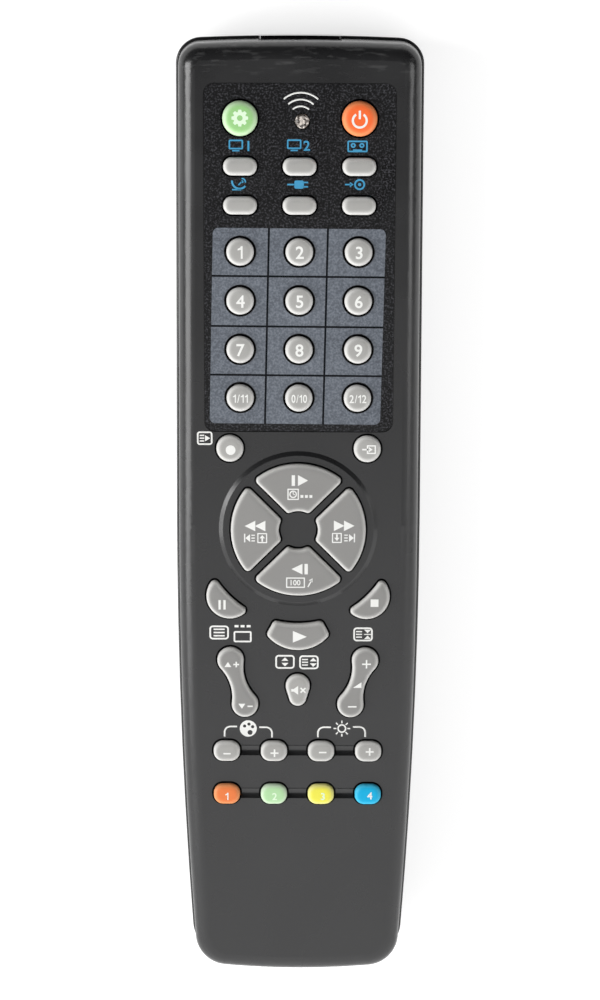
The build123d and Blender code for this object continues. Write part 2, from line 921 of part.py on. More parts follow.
# Keypad mat: a sheet with a raised seat under each key
with BuildPart() as keypad_mat:
    with BuildSketch(Plane.XY.offset(pad_top)):
        with Locations((0, (mat_head_y + mat_foot_y) / 2)):
            RectangleRounded(2 * mat_half_width, mat_head_y - mat_foot_y, radius=mat_corner)
    extrude(amount=mat_top - pad_top)
    for rocking in (False, True):
        with BuildSketch(Plane.XY.offset(mat_top)):
            for item in keys:
                if item["rocks"] == rocking:
                    add(item["profile"])
        extrude(amount=mat_seat_height - (rocker_seat_drop if rocking else 0))
    with BuildSketch(Plane.XY.offset(pad_top)):
        for item in keys:
            room = rocker_plunger_clearance if item["rocks"] else plunger_clearance
            with Locations(*item["plungers"]):
                Circle(item["reach"] + room)
        with Locations(lamp_place):
            Circle(lamp_flange_radius + lamp_gap)
        with Locations(*board_screw_places):
            Circle(board_post_radius + fit_gap)
    extrude(amount=seat_top - pad_top + overrun, mode=Mode.SUBTRACT)
save(keypad_mat.part, "keypad_mat")


# Keys
def build_key(item):
    """A rubber key top with its flange and plungers, and a carbon pill under each plunger."""
    rocks = item["rocks"]
    collar_top = ceiling - (rocker_flange_clearance if rocks else flange_clearance)
    pill_bottom = pad_top + rocker_contact_gap if rocks else pill_foot
    plunger_foot = pill_bottom + pill_thickness
    with BuildPart() as cap:
        with BuildSketch(Plane.XY.offset(collar_top - flange_thickness)):
            add(item["profile"])
        extrude(amount=item["top"] - collar_top + flange_thickness)
        fillet(cap.faces().sort_by(Axis.Z)[-1].edges(), radius=item["edge"])
        with BuildSketch(Plane.XY.offset(collar_top - flange_thickness)):
            add(grown(item["profile"], flange_width))
        extrude(amount=flange_thickness)
        with BuildSketch(Plane.XY.offset(plunger_foot)):
            with Locations(*item["plungers"]):
                Circle(item["reach"])
        extrude(amount=collar_top - plunger_foot)
    with BuildPart() as pills:
        with BuildSketch(Plane.XY.offset(pill_bottom)):
            with Locations(*item["plungers"]):
                Circle(item["reach"] - pill_inset)
        extrude(amount=pill_thickness)
    return Compound(children=[*cap.part.solids(), *pills.part.solids()])


for item in keys:
    save(build_key(item), item["name"])

# Screws, driven from below
with BuildPart() as board_screws:
    for screw_x, screw_y in board_screw_places:
        with Locations((screw_x, screw_y, board_underside)):
            Cylinder(
                board_screw_head_radius,
                board_screw_head_height,
                align=(Align.CENTER, Align.CENTER, Align.MAX),
            )
            Cylinder(
                board_screw_radius,
                board_thickness + board_screw_bite,
                align=(Align.CENTER, Align.CENTER, Align.MIN),
            )
        with Locations((screw_x, screw_y, board_underside - board_screw_head_height)):
            for turn in (0, 90):
                Box(
                    2 * board_screw_radius,
                    screw_slot_width,
                    screw_slot_depth,
                    rotation=(0, 0, turn),
                    align=(Align.CENTER, Align.CENTER, Align.MIN),
                    mode=Mode.SUBTRACT,
                )
save(board_screws.part, "board_screws")

with BuildPart() as case_screw:
    with Locations((0, case_screw_y, case_head_seat)):
        Cylinder(
            case_screw_head_radius,
            case_screw_head_height,
            align=(Align.CENTER, Align.CENTER, Align.MAX),
        )
        Cylinder(
            case_screw_radius,
            case_post_foot - case_head_seat + case_screw_bite,
            align=(Align.CENTER, Align.CENTER, Align.MIN),
        )
    with Locations((0, case_screw_y, case_head_seat - case_screw_head_height)):
        for turn in (0, 90):
            Box(
                2 * case_screw_radius,
                screw_slot_width,
                screw_slot_depth,
                rotation=(0, 0, turn),
                align=(Align.CENTER, Align.CENTER, Align.MIN),
                mode=Mode.SUBTRACT,
            )
save(case_screw.part, "case_screw")

# Infrared lamp behind the window, its leads bent up to the board
with BuildPart() as ir_led:
    ir_back_y = ir_tip_y - ir_length
    with BuildSketch(Plane.XZ.offset(-ir_back_y)):
        with Locations((0, ir_height)):
            Circle(ir_radius)
    extrude(amount=-ir_length)
    fillet(ir_led.faces().sort_by(Axis.Y)[-1].edges(), radius=ir_radius - lead_width)
    with BuildSketch(Plane.XZ.offset(-ir_back_y)):
        with Locations((0, ir_height)):
            Circle(ir_rim_radius)
    extrude(amount=-ir_rim)
    for side in (-1, 1):
        lead_x = side * lead_pitch / 2
        with Locations((lead_x, ir_back_y, ir_height)):
            Box(lead_width, lead_run, lead_width, align=(Align.CENTER, Align.MAX, Align.CENTER))
        with Locations((lead_x, ir_back_y - lead_run, ir_height - lead_width / 2)):
            Box(
                lead_width,
                lead_width,
                board_underside - ir_height + lead_width / 2,
                align=(Align.CENTER, Align.MAX, Align.MIN),
            )
save(ir_led.part, "ir_led")

# Two cells lying opposite ways
cell_solids = []
for side, end_y in ((-1, bay_head_y), (1, bay_foot_y)):
    heading = -side
    shoulder_y = end_y - heading * (contact_thickness + contact_rim + cell_nub)
    with BuildPart() as cell:
        with BuildSketch(Plane.XZ.offset(-shoulder_y)):
            with Locations((side * cell_x, cell_height)):
                Circle(cell_radius)
        extrude(amount=heading * (cell_length - cell_nub))
        fillet(cell.edges().filter_by(GeomType.CIRCLE), radius=cell_edge)
        with BuildSketch(Plane.XZ.offset(-shoulder_y)):
            with Locations((side * cell_x, cell_height)):
                Circle(cell_nub_radius)
        extrude(amount=-heading * cell_nub)
    cell_solids += cell.part.solids()
save(Compound(children=cell_solids), "batteries")

# Contact plates: a bridge at the tail end, a separate plate for each cell at the other
with BuildPart() as contact_plates:
    for end_y, plane_side in ((bay_foot_y, 1), (bay_head_y, -1)):
        with BuildSketch(Plane.XZ.offset(-end_y)):
            with Locations((-cell_x, cell_height), (cell_x, cell_height)):
                Rectangle(*contact_size)
            if plane_side > 0:
                with Locations((0, cell_height)):
                    Rectangle(2 * cell_x, contact_size[1] / 2)
        extrude(amount=-plane_side * contact_thickness)
save(contact_plates.part, "contact_plates")


# Battery springs
def battery_spring(side):
    """A coil that narrows from its contact plate to its cell."""
    heading = -1 if side > 0 else 1
    plate_y = bay_head_y - contact_thickness if side > 0 else bay_foot_y + contact_thickness
    rise = spring_length - spring_wire
    cone = Vector(rise, 0).get_angle(Vector(rise, spring_base_radius - spring_tip_radius))
    with BuildPart() as spring:
        with BuildLine() as coil:
            Helix(
                rise / spring_turns,
                rise,
                spring_base_radius,
                center=(side * cell_x, plate_y + heading * spring_wire / 2, cell_height),
                direction=(0, heading, 0),
                cone_angle=-cone,
            )
        with BuildSketch(Plane(origin=coil.line @ 0, z_dir=coil.line % 0)):
            Circle(spring_wire / 2)
        sweep(path=coil.line, is_frenet=True)
    return spring.part


springs = [solid for side in (-1, 1) for solid in battery_spring(side).solids()]
save(Compound(children=springs), "battery_springs")

# Components under the board
with BuildPart() as control_chip:
    with Locations((0, chip_y, board_underside - chip_lead_thickness)):
        Box(*chip_size, align=(Align.CENTER, Align.CENTER, Align.MAX))
    chamfer(control_chip.edges().filter_by(Axis.Y), length=chip_edge)
save(control_chip.part, "control_chip")

with BuildPart() as chip_leads:
    lead_height = chip_size[2] / 2
    for index in range(chip_lead_count):
        lead_y = chip_y + (index - (chip_lead_count - 1) / 2) * chip_lead_pitch
        for side in (-1, 1):
            body_edge = side * chip_size[0] / 2
            with Locations((body_edge + side * chip_lead_reach / 2, lead_y, board_underside)):
                Box(
                    chip_lead_reach,
                    chip_lead_width,
                    lead_height,
                    align=(Align.CENTER, Align.CENTER, Align.MAX),
                )
save(chip_leads.part, "chip_leads")

with BuildPart() as resonator:
    with Locations((*resonator_place, board_underside)):
        Box(*resonator_size, align=(Align.CENTER, Align.CENTER, Align.MAX))
    fillet(resonator.edges().filter_by(Axis.Z), radius=resonator_edge)
save(resonator.part, "resonator")

with BuildPart() as capacitor:
    with Locations((*capacitor_place, board_underside)):
        Cylinder(
            capacitor_radius, capacitor_height, align=(Align.CENTER, Align.CENTER, Align.MAX)
        )
save(capacitor.part, "capacitor")

with BuildPart() as transistor:
    with BuildSketch(Plane.XY.offset(board_underside - transistor_stand_off)):
        with Locations(transistor_place):
            Circle(transistor_radius)
            with Locations((0, transistor_flat)):
                Rectangle(
                    2 * transistor_radius,
                    transistor_radius,
                    align=(Align.CENTER, Align.MIN),
                    mode=Mode.SUBTRACT,
                )
    extrude(amount=-transistor_height)
    with BuildSketch(Plane.XY.offset(board_underside)):
        with Locations(transistor_place):
            with GridLocations(chip_lead_pitch, 0, 3, 1):
                Rectangle(lead_width, lead_width)
    extrude(amount=-transistor_stand_off)
save(transistor.part, "transistor")
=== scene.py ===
# %% [markdown]
# # A universal remote control
#
# The real object is a long black handset of moulded plastic. Forty rubber keys stand through
# holes in its face, a printed film covers the upper half of the face, and an infrared lamp
# looks out of a dark window at one end. The solids come ready made from CAD, in metres, with
# +Z up through the keys and +Y towards the window. This lesson gives them their finishes and
# adds what CAD leaves out: the printed marks, the cut facets of the signal lamp and the light.

# %% Load the solids
import json
import math

import bmesh
import bpy
from mathutils import Matrix, Vector
from mathutils.geometry import tessellate_polygon

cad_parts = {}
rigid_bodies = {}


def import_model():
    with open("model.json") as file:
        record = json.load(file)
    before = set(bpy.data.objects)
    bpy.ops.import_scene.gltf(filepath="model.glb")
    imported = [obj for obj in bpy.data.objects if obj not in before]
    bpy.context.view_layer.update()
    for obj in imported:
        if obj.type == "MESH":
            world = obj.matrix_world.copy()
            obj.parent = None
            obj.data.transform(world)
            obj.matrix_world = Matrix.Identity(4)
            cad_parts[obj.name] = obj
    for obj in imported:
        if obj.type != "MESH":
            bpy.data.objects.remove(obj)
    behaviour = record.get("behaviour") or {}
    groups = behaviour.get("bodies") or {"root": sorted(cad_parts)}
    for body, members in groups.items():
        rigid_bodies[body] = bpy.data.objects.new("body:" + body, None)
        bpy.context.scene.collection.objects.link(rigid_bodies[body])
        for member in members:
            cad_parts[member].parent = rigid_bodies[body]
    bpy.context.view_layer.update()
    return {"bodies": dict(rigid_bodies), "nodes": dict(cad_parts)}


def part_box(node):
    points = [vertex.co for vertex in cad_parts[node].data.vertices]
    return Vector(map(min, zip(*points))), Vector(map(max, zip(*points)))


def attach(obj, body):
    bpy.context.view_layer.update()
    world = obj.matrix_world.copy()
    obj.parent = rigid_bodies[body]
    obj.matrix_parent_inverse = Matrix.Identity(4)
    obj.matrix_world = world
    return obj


# The frame holds the solids by name, the bodies that they move with, and the joints.
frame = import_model()
MM = 0.001

# %% [markdown]
# ## The camera
#
# The photograph was taken from above, a little towards the window end, with a long lens. A camera
# could be aimed with a constraint, but that leaves its roll open. This one is built from three
# directions instead: where it looks, which way is right in the picture and which way is up. A
# roll of about a quarter of a degree matches the way the remote lies in the photograph.

# %% Camera
PHOTO_HEIGHT_PX = 1000
MM_PER_PX = 0.2146
CAMERA_DISTANCE = 560 * MM
CAMERA_TILT = math.radians(12.5)
CAMERA_ROLL = math.radians(0.22)
CAMERA_TARGET = Vector((0.34, 5.0, 20.0)) * MM
SENSOR_MM = 36.0
NEAREST_SEEN = 10 * MM

look = Vector((0, -math.sin(CAMERA_TILT), -math.cos(CAMERA_TILT)))
right = Vector((1, 0, 0))
up = right.cross(look)
picture_right = right * math.cos(CAMERA_ROLL) + up * math.sin(CAMERA_ROLL)
picture_up = up * math.cos(CAMERA_ROLL) - right * math.sin(CAMERA_ROLL)

camera_data = bpy.data.cameras.new("camera")
camera_data.sensor_width = SENSOR_MM
camera_data.lens = SENSOR_MM * CAMERA_DISTANCE / (PHOTO_HEIGHT_PX * MM_PER_PX * MM)
camera_data.clip_start = NEAREST_SEEN
camera = bpy.data.objects.new("camera", camera_data)
bpy.context.collection.objects.link(camera)
turn = Matrix((picture_right, picture_up, -look)).transposed().to_4x4()
camera.matrix_world = Matrix.Translation(CAMERA_TARGET - look * CAMERA_DISTANCE) @ turn
bpy.context.scene.camera = camera
print("lens", round(camera_data.lens, 2), "mm")

# %% [markdown]
# ## Two small helpers
#
# Colours are written as they would be picked on a screen, and one function turns them into the
# linear values that the renderer mixes. Nodes could be added and linked line by line, which is
# long, so a second function adds a node with all that belongs to it.


# %% Colour and node helpers
def linear(screen_hex):
    """The linear light of a screen colour such as #c4c4c4, by the sRGB curve."""
    channels = [int(screen_hex[i : i + 2], 16) / 255 for i in (1, 3, 5)]
    decoded = [c / 12.92 if c <= 0.04045 else ((c + 0.055) / 1.055) ** 2.4 for c in channels]
    return (*decoded, 1.0)


def add_node(tree, kind, inputs=None, **settings):
    """Adds one node with its settings. Each input gets a value, or the socket that feeds it."""
    made = tree.nodes.new(kind)
    for name, value in settings.items():
        setattr(made, name, value)
    for name, source in (inputs or {}).items():
        if isinstance(source, bpy.types.NodeSocket):
            tree.links.new(source, made.inputs[name])
        else:
            made.inputs[name].default_value = source
    return made


def new_material(name):
    material = bpy.data.materials.new(name)
    material.use_nodes = True
    material.node_tree.nodes.clear()
    return material, material.node_tree


print("black plastic in linear light", [round(c, 3) for c in linear("#2b2b2d")])

# %% [markdown]
# ## Floor and backdrop
#
# The remote lies on a sweep of white paper. More light would whiten it, but it would wash out the
# remote too. So the paper glows a little where the camera, a mirror or glass sees it, and its
# dull coat, which is light grey, still takes the soft shadow of the case.

# %% Floor
FLOOR_GLOW = 0.66
FLOOR_SIZE = 4.0
FLOOR_DROP_MM = 0.02  # so that the floor and the underside of the case are not in one plane


def largest(tree, first, *others):
    """The largest of several levels, through a chain of nodes."""
    for other in others:
        larger = add_node(tree, "ShaderNodeMath", {0: first, 1: other}, operation="MAXIMUM")
        first = larger.outputs[0]
    return first


floor_paper, tree = new_material("white_paper_sweep")
path = add_node(tree, "ShaderNodeLightPath").outputs
seen = largest(tree, *[path[f"Is {kind} Ray"] for kind in ("Camera", "Glossy", "Transmission")])
glow_level = add_node(tree, "ShaderNodeMath", {0: seen, 1: FLOOR_GLOW}, operation="MULTIPLY")
glow = add_node(tree, "ShaderNodeEmission", {"Strength": glow_level.outputs[0]})
dull = add_node(tree, "ShaderNodeBsdfDiffuse", {"Color": linear("#c4c4c4")})
both = add_node(tree, "ShaderNodeAddShader", {0: glow.outputs[0], 1: dull.outputs[0]})
add_node(tree, "ShaderNodeOutputMaterial", {"Surface": both.outputs[0]})

floor_mesh = bpy.data.meshes.new("floor")
half = FLOOR_SIZE / 2
corners = [(-half, -half, 0), (half, -half, 0), (half, half, 0), (-half, half, 0)]
floor_mesh.from_pydata(corners, [], [(0, 1, 2, 3)])
floor_mesh.materials.append(floor_paper)
floor = bpy.data.objects.new("floor", floor_mesh)
floor.location.z = -FLOOR_DROP_MM * MM
bpy.context.collection.objects.link(floor)
print("floor", FLOOR_SIZE, "m square")

# %% [markdown]
# ## The room
#
# In the photograph the black face grows paler from the window end to the tail. A flat face mirrors
# one part of the room at each place, so the room is brighter over the tail. Lamps could do that,
# but a mirror shows their edges. The world has none: its level follows a smooth step along Y. Near
# the horizon every mirror sees the white backdrop, and the camera always does.

# %% World
# The level of the room at both ends, and the headings along Y between which it changes.
DIM_END = 0.024
BRIGHT_END = 1.56
BRIGHT_START_Y = -0.05
BRIGHT_FULL_Y = -0.3
# The slope up to which mirrors see the backdrop, the slope where it has faded, and its level.
BACKDROP_TOP = 0.03
BACKDROP_FADE = 0.09
BACKDROP_LEVEL = 0.8

world = bpy.data.worlds.new("studio")
bpy.context.scene.world = world
world.use_nodes = True
tree = world.node_tree
tree.nodes.clear()
heading = add_node(tree, "ShaderNodeTexCoord").outputs["Generated"]
axes = add_node(tree, "ShaderNodeSeparateXYZ", {0: heading}).outputs
reflector = add_node(tree, "ShaderNodeMapRange", {
    "Value": axes["Y"], "From Min": BRIGHT_START_Y, "From Max": BRIGHT_FULL_Y,
    "To Min": DIM_END, "To Max": BRIGHT_END,
}, interpolation_type="SMOOTHSTEP").outputs["Result"]
slope = add_node(tree, "ShaderNodeMath", {0: axes["Z"]}, operation="ABSOLUTE").outputs[0]
backdrop = add_node(tree, "ShaderNodeMapRange", {
    "Value": slope, "From Min": BACKDROP_TOP, "From Max": BACKDROP_FADE,
    "To Min": BACKDROP_LEVEL, "To Max": 0.0,
}).outputs["Result"]
path = add_node(tree, "ShaderNodeLightPath").outputs
mirrored = add_node(
    tree, "ShaderNodeMath", {0: path["Is Glossy Ray"], 1: backdrop}, operation="MULTIPLY"
).outputs[0]
level = largest(tree, path["Is Camera Ray"], path["Is Transmission Ray"], mirrored, reflector)
sky = add_node(tree, "ShaderNodeBackground", {"Strength": level, "Color": linear("#ffffff")})
add_node(tree, "ShaderNodeOutputWorld", {"Surface": sky.outputs[0]})
bpy.context.scene.view_settings.view_transform = "Standard"
print("room level", DIM_END, "to", BRIGHT_END)

# %% [markdown]
# ## Soft boxes
#
# A tall soft box on the left draws the long bright line on the left shoulder and lights the left
# rim of every key. A second one beside it makes that line brighter towards the window end, and a
# weak one on the right draws the thin line on the right shoulder. Small lamps would draw dots
# there, so these are wide. The left ones begin about 20 degrees above the horizon: if they hung
# lower, the flat face would mirror them towards a viewer on the right, and would look white.


# %% Soft boxes
def soft_box(name, place, aim, size, power):
    data = bpy.data.lights.new(name, "AREA")
    data.shape = "RECTANGLE"
    data.size, data.size_y = size
    data.energy = power
    box = bpy.data.objects.new(name, data)
    bpy.context.collection.objects.link(box)
    box.location = place
    box.rotation_euler = (Vector(aim) - Vector(place)).to_track_quat("-Z", "Y").to_euler()
    return box


# For each: its name, where it hangs, where it points, its width and height, and its power.
SOFT_BOXES = (
    ("left_box", (-0.55, -0.09, 0.51), (0, -0.09, 0.51), (0.24, 0.6), 2.3),
    ("left_end_box", (-0.55, 0.12, 0.51), (0, 0.12, 0.51), (0.2, 0.6), 3.3),
    ("right_box", (0.6, 0.05, 0.5), (0, 0.0, 0.02), (0.3, 0.3), 0.9),
)
for box in SOFT_BOXES:
    soft_box(*box)
print("soft boxes", len(SOFT_BOXES))

# %% [markdown]
# ## Moulded plastics and rubbers
#
# Most of the remote is moulded: ABS for the case, silicone rubber for the keys. A tool with a
# spark-eroded finish leaves a field of tiny craters, so such a surface looks evenly satin and not
# glossy. Real craters are about 0.05 mm wide, too fine to show, so they are drawn coarser. A flat
# colour with a roughness would look like paint. One function draws the finish of every moulded
# piece instead: a fine noise for the craters and a slow one for the small changes in tone and
# sheen that moulding and handling leave. Its sizes are in millimetres.

# %% A moulded surface
GRAIN_MM = 0.35
GRAIN_DEPTH_MM = 0.012
GRAIN_TONE = 0.15
GRAIN_BUMP = 0.5
SHEEN_PATCH_MM = 14
SHEEN_CHANGE = 0.04
COAT_ROUGHNESS = 0.2
NOISE_LOW, NOISE_HIGH = 0.3, 0.7  # nearly all of a noise lies between these
COLOUR_A, COLOUR_B, MIXED_COLOUR = 6, 7, 2  # a Mix node's sockets for colours


def lay_over(tree, shader, share, colour):
    """Lays a second colour over a finish, where the share is 1."""
    below = shader.inputs["Base Color"].links[0].from_socket
    mixed = add_node(tree, "ShaderNodeMix", {
        0: share, COLOUR_A: below, COLOUR_B: linear(colour)
    }, data_type="RGBA")
    tree.links.new(mixed.outputs[MIXED_COLOUR], shader.inputs["Base Color"])


def specks(tree, place, size_mm, thin, full, most=1.0, detail=3.0):
    """Patches of about one size: 0 where the noise is below thin, most where it is above full."""
    pattern = add_node(tree, "ShaderNodeTexNoise", {
        "Vector": place, "Scale": 1 / (size_mm * MM), "Detail": detail
    })
    return add_node(tree, "ShaderNodeMapRange", {
        "Value": pattern.outputs["Fac"], "From Min": thin, "From Max": full, "To Max": most
    }).outputs["Result"]


def moulded(
    name, colours, roughness, ior=1.5, metallic=0.0, grain_mm=GRAIN_MM, depth_mm=GRAIN_DEPTH_MM,
    coat=0.0,
):
    """A moulded finish. The two colours are the darkest and the lightest tone of the surface."""
    material, tree = new_material(name)
    place = add_node(tree, "ShaderNodeTexCoord").outputs["Object"]
    craters, patches = [
        add_node(tree, "ShaderNodeTexNoise", {
            "Vector": place, "Scale": 1 / (size_mm * MM), "Detail": detail
        }).outputs["Fac"]
        for size_mm, detail in ((grain_mm, 2.0), (SHEEN_PATCH_MM, 3.0))
    ]
    speckle, sheen = [
        add_node(tree, "ShaderNodeMapRange", {
            "Value": pattern, "From Min": NOISE_LOW, "From Max": NOISE_HIGH,
            "To Min": low, "To Max": high,
        }).outputs["Result"]
        for pattern, low, high in (
            (craters, -GRAIN_TONE, GRAIN_TONE),
            (patches, roughness - SHEEN_CHANGE, roughness + SHEEN_CHANGE),
        )
    ]
    lightness = add_node(
        tree, "ShaderNodeMath", {0: patches, 1: speckle}, operation="ADD", use_clamp=True
    )
    tone = add_node(tree, "ShaderNodeMix", {
        0: lightness.outputs[0], COLOUR_A: linear(colours[0]), COLOUR_B: linear(colours[1])
    }, data_type="RGBA").outputs[MIXED_COLOUR]
    bump = add_node(tree, "ShaderNodeBump", {
        "Height": craters, "Strength": GRAIN_BUMP, "Distance": depth_mm * MM
    })
    shader = add_node(tree, "ShaderNodeBsdfPrincipled", {
        "Base Color": tone, "Roughness": sheen, "Normal": bump.outputs["Normal"],
        "IOR": ior, "Metallic": metallic, "Coat Weight": coat, "Coat Roughness": COAT_ROUGHNESS,
    })
    add_node(tree, "ShaderNodeOutputMaterial", {"Surface": shader.outputs[0]})
    return material, tree, shader


def fade(tree, axis, start, end):
    """A level that goes from 0 to 1 along an axis of the object, between two places."""
    place = add_node(tree, "ShaderNodeTexCoord").outputs["Object"]
    along = add_node(tree, "ShaderNodeSeparateXYZ", {0: place}).outputs[axis]
    ends = {"Value": along, "From Min": start, "From Max": end}
    return add_node(tree, "ShaderNodeMapRange", ends).outputs["Result"]


def dress(material, *names):
    """Gives solids a finish, in their material slots."""
    for name in names:
        for slot in frame["nodes"][name].material_slots:
            slot.material = material


print("grain every", GRAIN_MM, "mm")

# %% [markdown]
# ## The case
#
# The case is satin black ABS, so it looks dark grey with soft, wide highlights. Its window end
# carries fine pale streaks that run across it: partly scuffs, and partly a painted highlight of
# the
# pale band near the edge of that end. A painted picture could show them, but noise needs no file:
# here it is stretched along X, kept to the last few millimetres with a mask on Y, and laid over
# the black as a paler grey.

# %% Case plastic
SCUFF_AND_HIGHLIGHT_START_MM = 94.0
SCUFF_AND_HIGHLIGHT_FULL_MM = 99.0
STREAK_MM = 1.3
STREAK_STRETCH = (0.35, 1.4, 1.4)

case_plastic, tree, shader = moulded("satin_black_abs", ("#1b1b1c", "#232324"), 0.27, ior=1.53)
near_end = fade(tree, "Y", SCUFF_AND_HIGHLIGHT_START_MM * MM, SCUFF_AND_HIGHLIGHT_FULL_MM * MM)
place = add_node(tree, "ShaderNodeTexCoord").outputs["Object"]
stretched = add_node(tree, "ShaderNodeMapping", {"Vector": place, "Scale": STREAK_STRETCH})
# The pale streaks are partly scuffs and partly a painted highlight near the window end.
streaks = specks(tree, stretched.outputs[0], STREAK_MM, 0.56, 0.7, most=0.3, detail=6.0)
scuffs_and_highlight = add_node(tree, "ShaderNodeMath", {0: near_end, 1: streaks}, operation="MULTIPLY")
lay_over(tree, shader, scuffs_and_highlight.outputs[0], "#6a6a6a")
dress(case_plastic, "top_shell", "bottom_shell", "battery_door")
print("scuffs beyond", SCUFF_AND_HIGHLIGHT_START_MM, "mm")

# %% [markdown]
# ## Keys
#
# Each key is silicone rubber. Its cap is sprayed in a colour and then with a clear coat, so it
# looks matt with a faint shine. Below the paint the rubber is near black, a painted shade that
# keeps the gap round the key dark, and the height tells the two apart. The edge of the top is
# soft, and the broad pale rim on it is a painted highlight. A painted mask could draw it, but a
# Bevel node
# finds it on any key: near an edge the rounded normal leans over, and the more it leans, the paler
# the rim.

# %% Key rubber
SOFT_EDGE_MM = 1.5
RIM_START = 0.985
RIM_FULL = 0.8
PAINT_DEPTH_MM = 1.35
PAINT_FADE_MM = 0.1
KEY_GRAIN_MM = 0.16
MATT_GLOSS = 0.25
# Near black below the paint: a painted shade that keeps the gap round each key dark.
GAP_SHADE_BLACK = "#19191b"
# For each paint: its dark tone, its light tone and its rim, a painted highlight.
KEY_COLOURS = {
    "grey": ("#9b9a97", "#a8a7a4", "#dad9d6"),
    "deep_grey": ("#848381", "#8f8e8c", "#d6d5d2"),
    "mint": ("#90c47c", "#9fcd8d", "#cdebc0"),
    "orange": ("#ea622a", "#f16e38", "#fa955f"),
    "red": ("#de7038", "#e68148", "#f29f69"),
    "green": ("#a6d29a", "#b4daa9", "#d4eacc"),
    "yellow": ("#e4dd48", "#ebe55a", "#f5ef94"),
    "blue": ("#00a0d0", "#00aedb", "#46c2e8"),
}
DEEP_GREY_KEYS = (
    "up_key", "left_key", "right_key", "down_key", "pause_key", "stop_key", "play_key",
    "channel_rocker", "volume_rocker",
)
PAINTS = {
    **dict.fromkeys(DEEP_GREY_KEYS, "deep_grey"),
    "set_key": "mint",
    "power_key": "orange",
    **{f"{colour}_key": colour for colour in ("red", "green", "yellow", "blue")},
}


def key_rubber(name, dark, light, rim, top_mm):
    """Sprayed silicone, with a painted highlight on its rim and painted shade below the paint."""
    material, tree, shader = moulded(
        name, (dark, light), 0.46, ior=1.43, grain_mm=KEY_GRAIN_MM, depth_mm=0.006, coat=0.08
    )
    shader.inputs["Specular IOR Level"].default_value = MATT_GLOSS
    soft = add_node(tree, "ShaderNodeBevel", {"Radius": SOFT_EDGE_MM * MM}, samples=6).outputs[0]
    tree.links.new(soft, shader.inputs["Normal"].links[0].from_node.inputs["Normal"])
    # The pale rim is a painted highlight: the more the rounded normal leans, the paler the rim.
    upright = add_node(tree, "ShaderNodeSeparateXYZ", {0: soft}).outputs["Z"]
    leans = {"Value": upright, "From Min": RIM_START, "From Max": RIM_FULL}
    rim_highlight = add_node(tree, "ShaderNodeMapRange", leans).outputs["Result"]
    lay_over(tree, shader, rim_highlight, rim)
    # Below the paint line the rubber turns near black, a painted shade in the gap round the key.
    foot = (top_mm - PAINT_DEPTH_MM) * MM
    lay_over(tree, shader, fade(tree, "Z", foot + PAINT_FADE_MM * MM, foot), GAP_SHADE_BLACK)
    return material


def top_of(node):
    """The height of a solid's top, in millimetres."""
    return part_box(node)[1].z / MM


key_nodes = [n for n in frame["nodes"] if n in frame["bodies"] and n != "battery_door"]
rubbers = {}
for node in key_nodes:
    colour = PAINTS.get(node, "grey")
    top = round(top_of(node), 2)
    if (colour, top) not in rubbers:
        label = f"painted_silicone_{colour}_{round(top * 100)}"
        rubbers[colour, top] = key_rubber(label, *KEY_COLOURS[colour], top)
    dress(rubbers[colour, top], node)
print("keys", len(key_nodes), "rubbers", len(rubbers))

# %% [markdown]
# ## Label film, window and lamp
#
# The label is a polycarbonate film, printed black from behind, with an embossed leather grain. A
# bump alone would leave it plain black in this light, so the ridges that catch the light are laid
# on as pale specks. The infrared window is smoked acrylic that looks black and glossy. The signal
# lamp is cast in grey tinted epoxy with a cut lens. Voronoi cells give each facet a level of its
# own, and the palest are laid on as painted glints.

# %% Film, window and lamp
FILM_GRAIN_MM = 0.42
FILM_SPECK_MM = 0.4
GLINT_MM = 0.5

label_film, tree, shader = moulded(
    "embossed_polycarbonate_film", ("#060607", "#0e0e0f"), 0.3,
    grain_mm=FILM_GRAIN_MM, depth_mm=0.05,
)
place = add_node(tree, "ShaderNodeTexCoord").outputs["Object"]
lay_over(tree, shader, specks(tree, place, FILM_SPECK_MM, 0.49, 0.7), "#424246")
shader.inputs["Specular IOR Level"].default_value = MATT_GLOSS
dress(label_film, "face_label")

smoked_acrylic = moulded(
    "smoked_acrylic", ("#0c090c", "#120e12"), 0.09, ior=1.49, grain_mm=2.0, depth_mm=0.002
)[0]
dress(smoked_acrylic, "ir_window")
tinted_epoxy, tree, shader = moulded(
    "grey_tinted_epoxy", ("#332e2b", "#655d57"), 0.15, ior=1.55, grain_mm=0.5, depth_mm=0.02
)
place = add_node(tree, "ShaderNodeTexCoord").outputs["Object"]
# The palest Voronoi cells are painted glints on the facets of the lens.
cut = add_node(tree, "ShaderNodeTexVoronoi", {"Vector": place, "Scale": 1 / (GLINT_MM * MM)})
levels = {"Value": cut.outputs["Color"], "From Min": 0.42, "From Max": 0.7}
glints = add_node(tree, "ShaderNodeMapRange", levels)
lay_over(tree, shader, glints.outputs["Result"], "#e2dad2")
dress(tinted_epoxy, "signal_lamp")
print("film grain", FILM_GRAIN_MM, "mm")
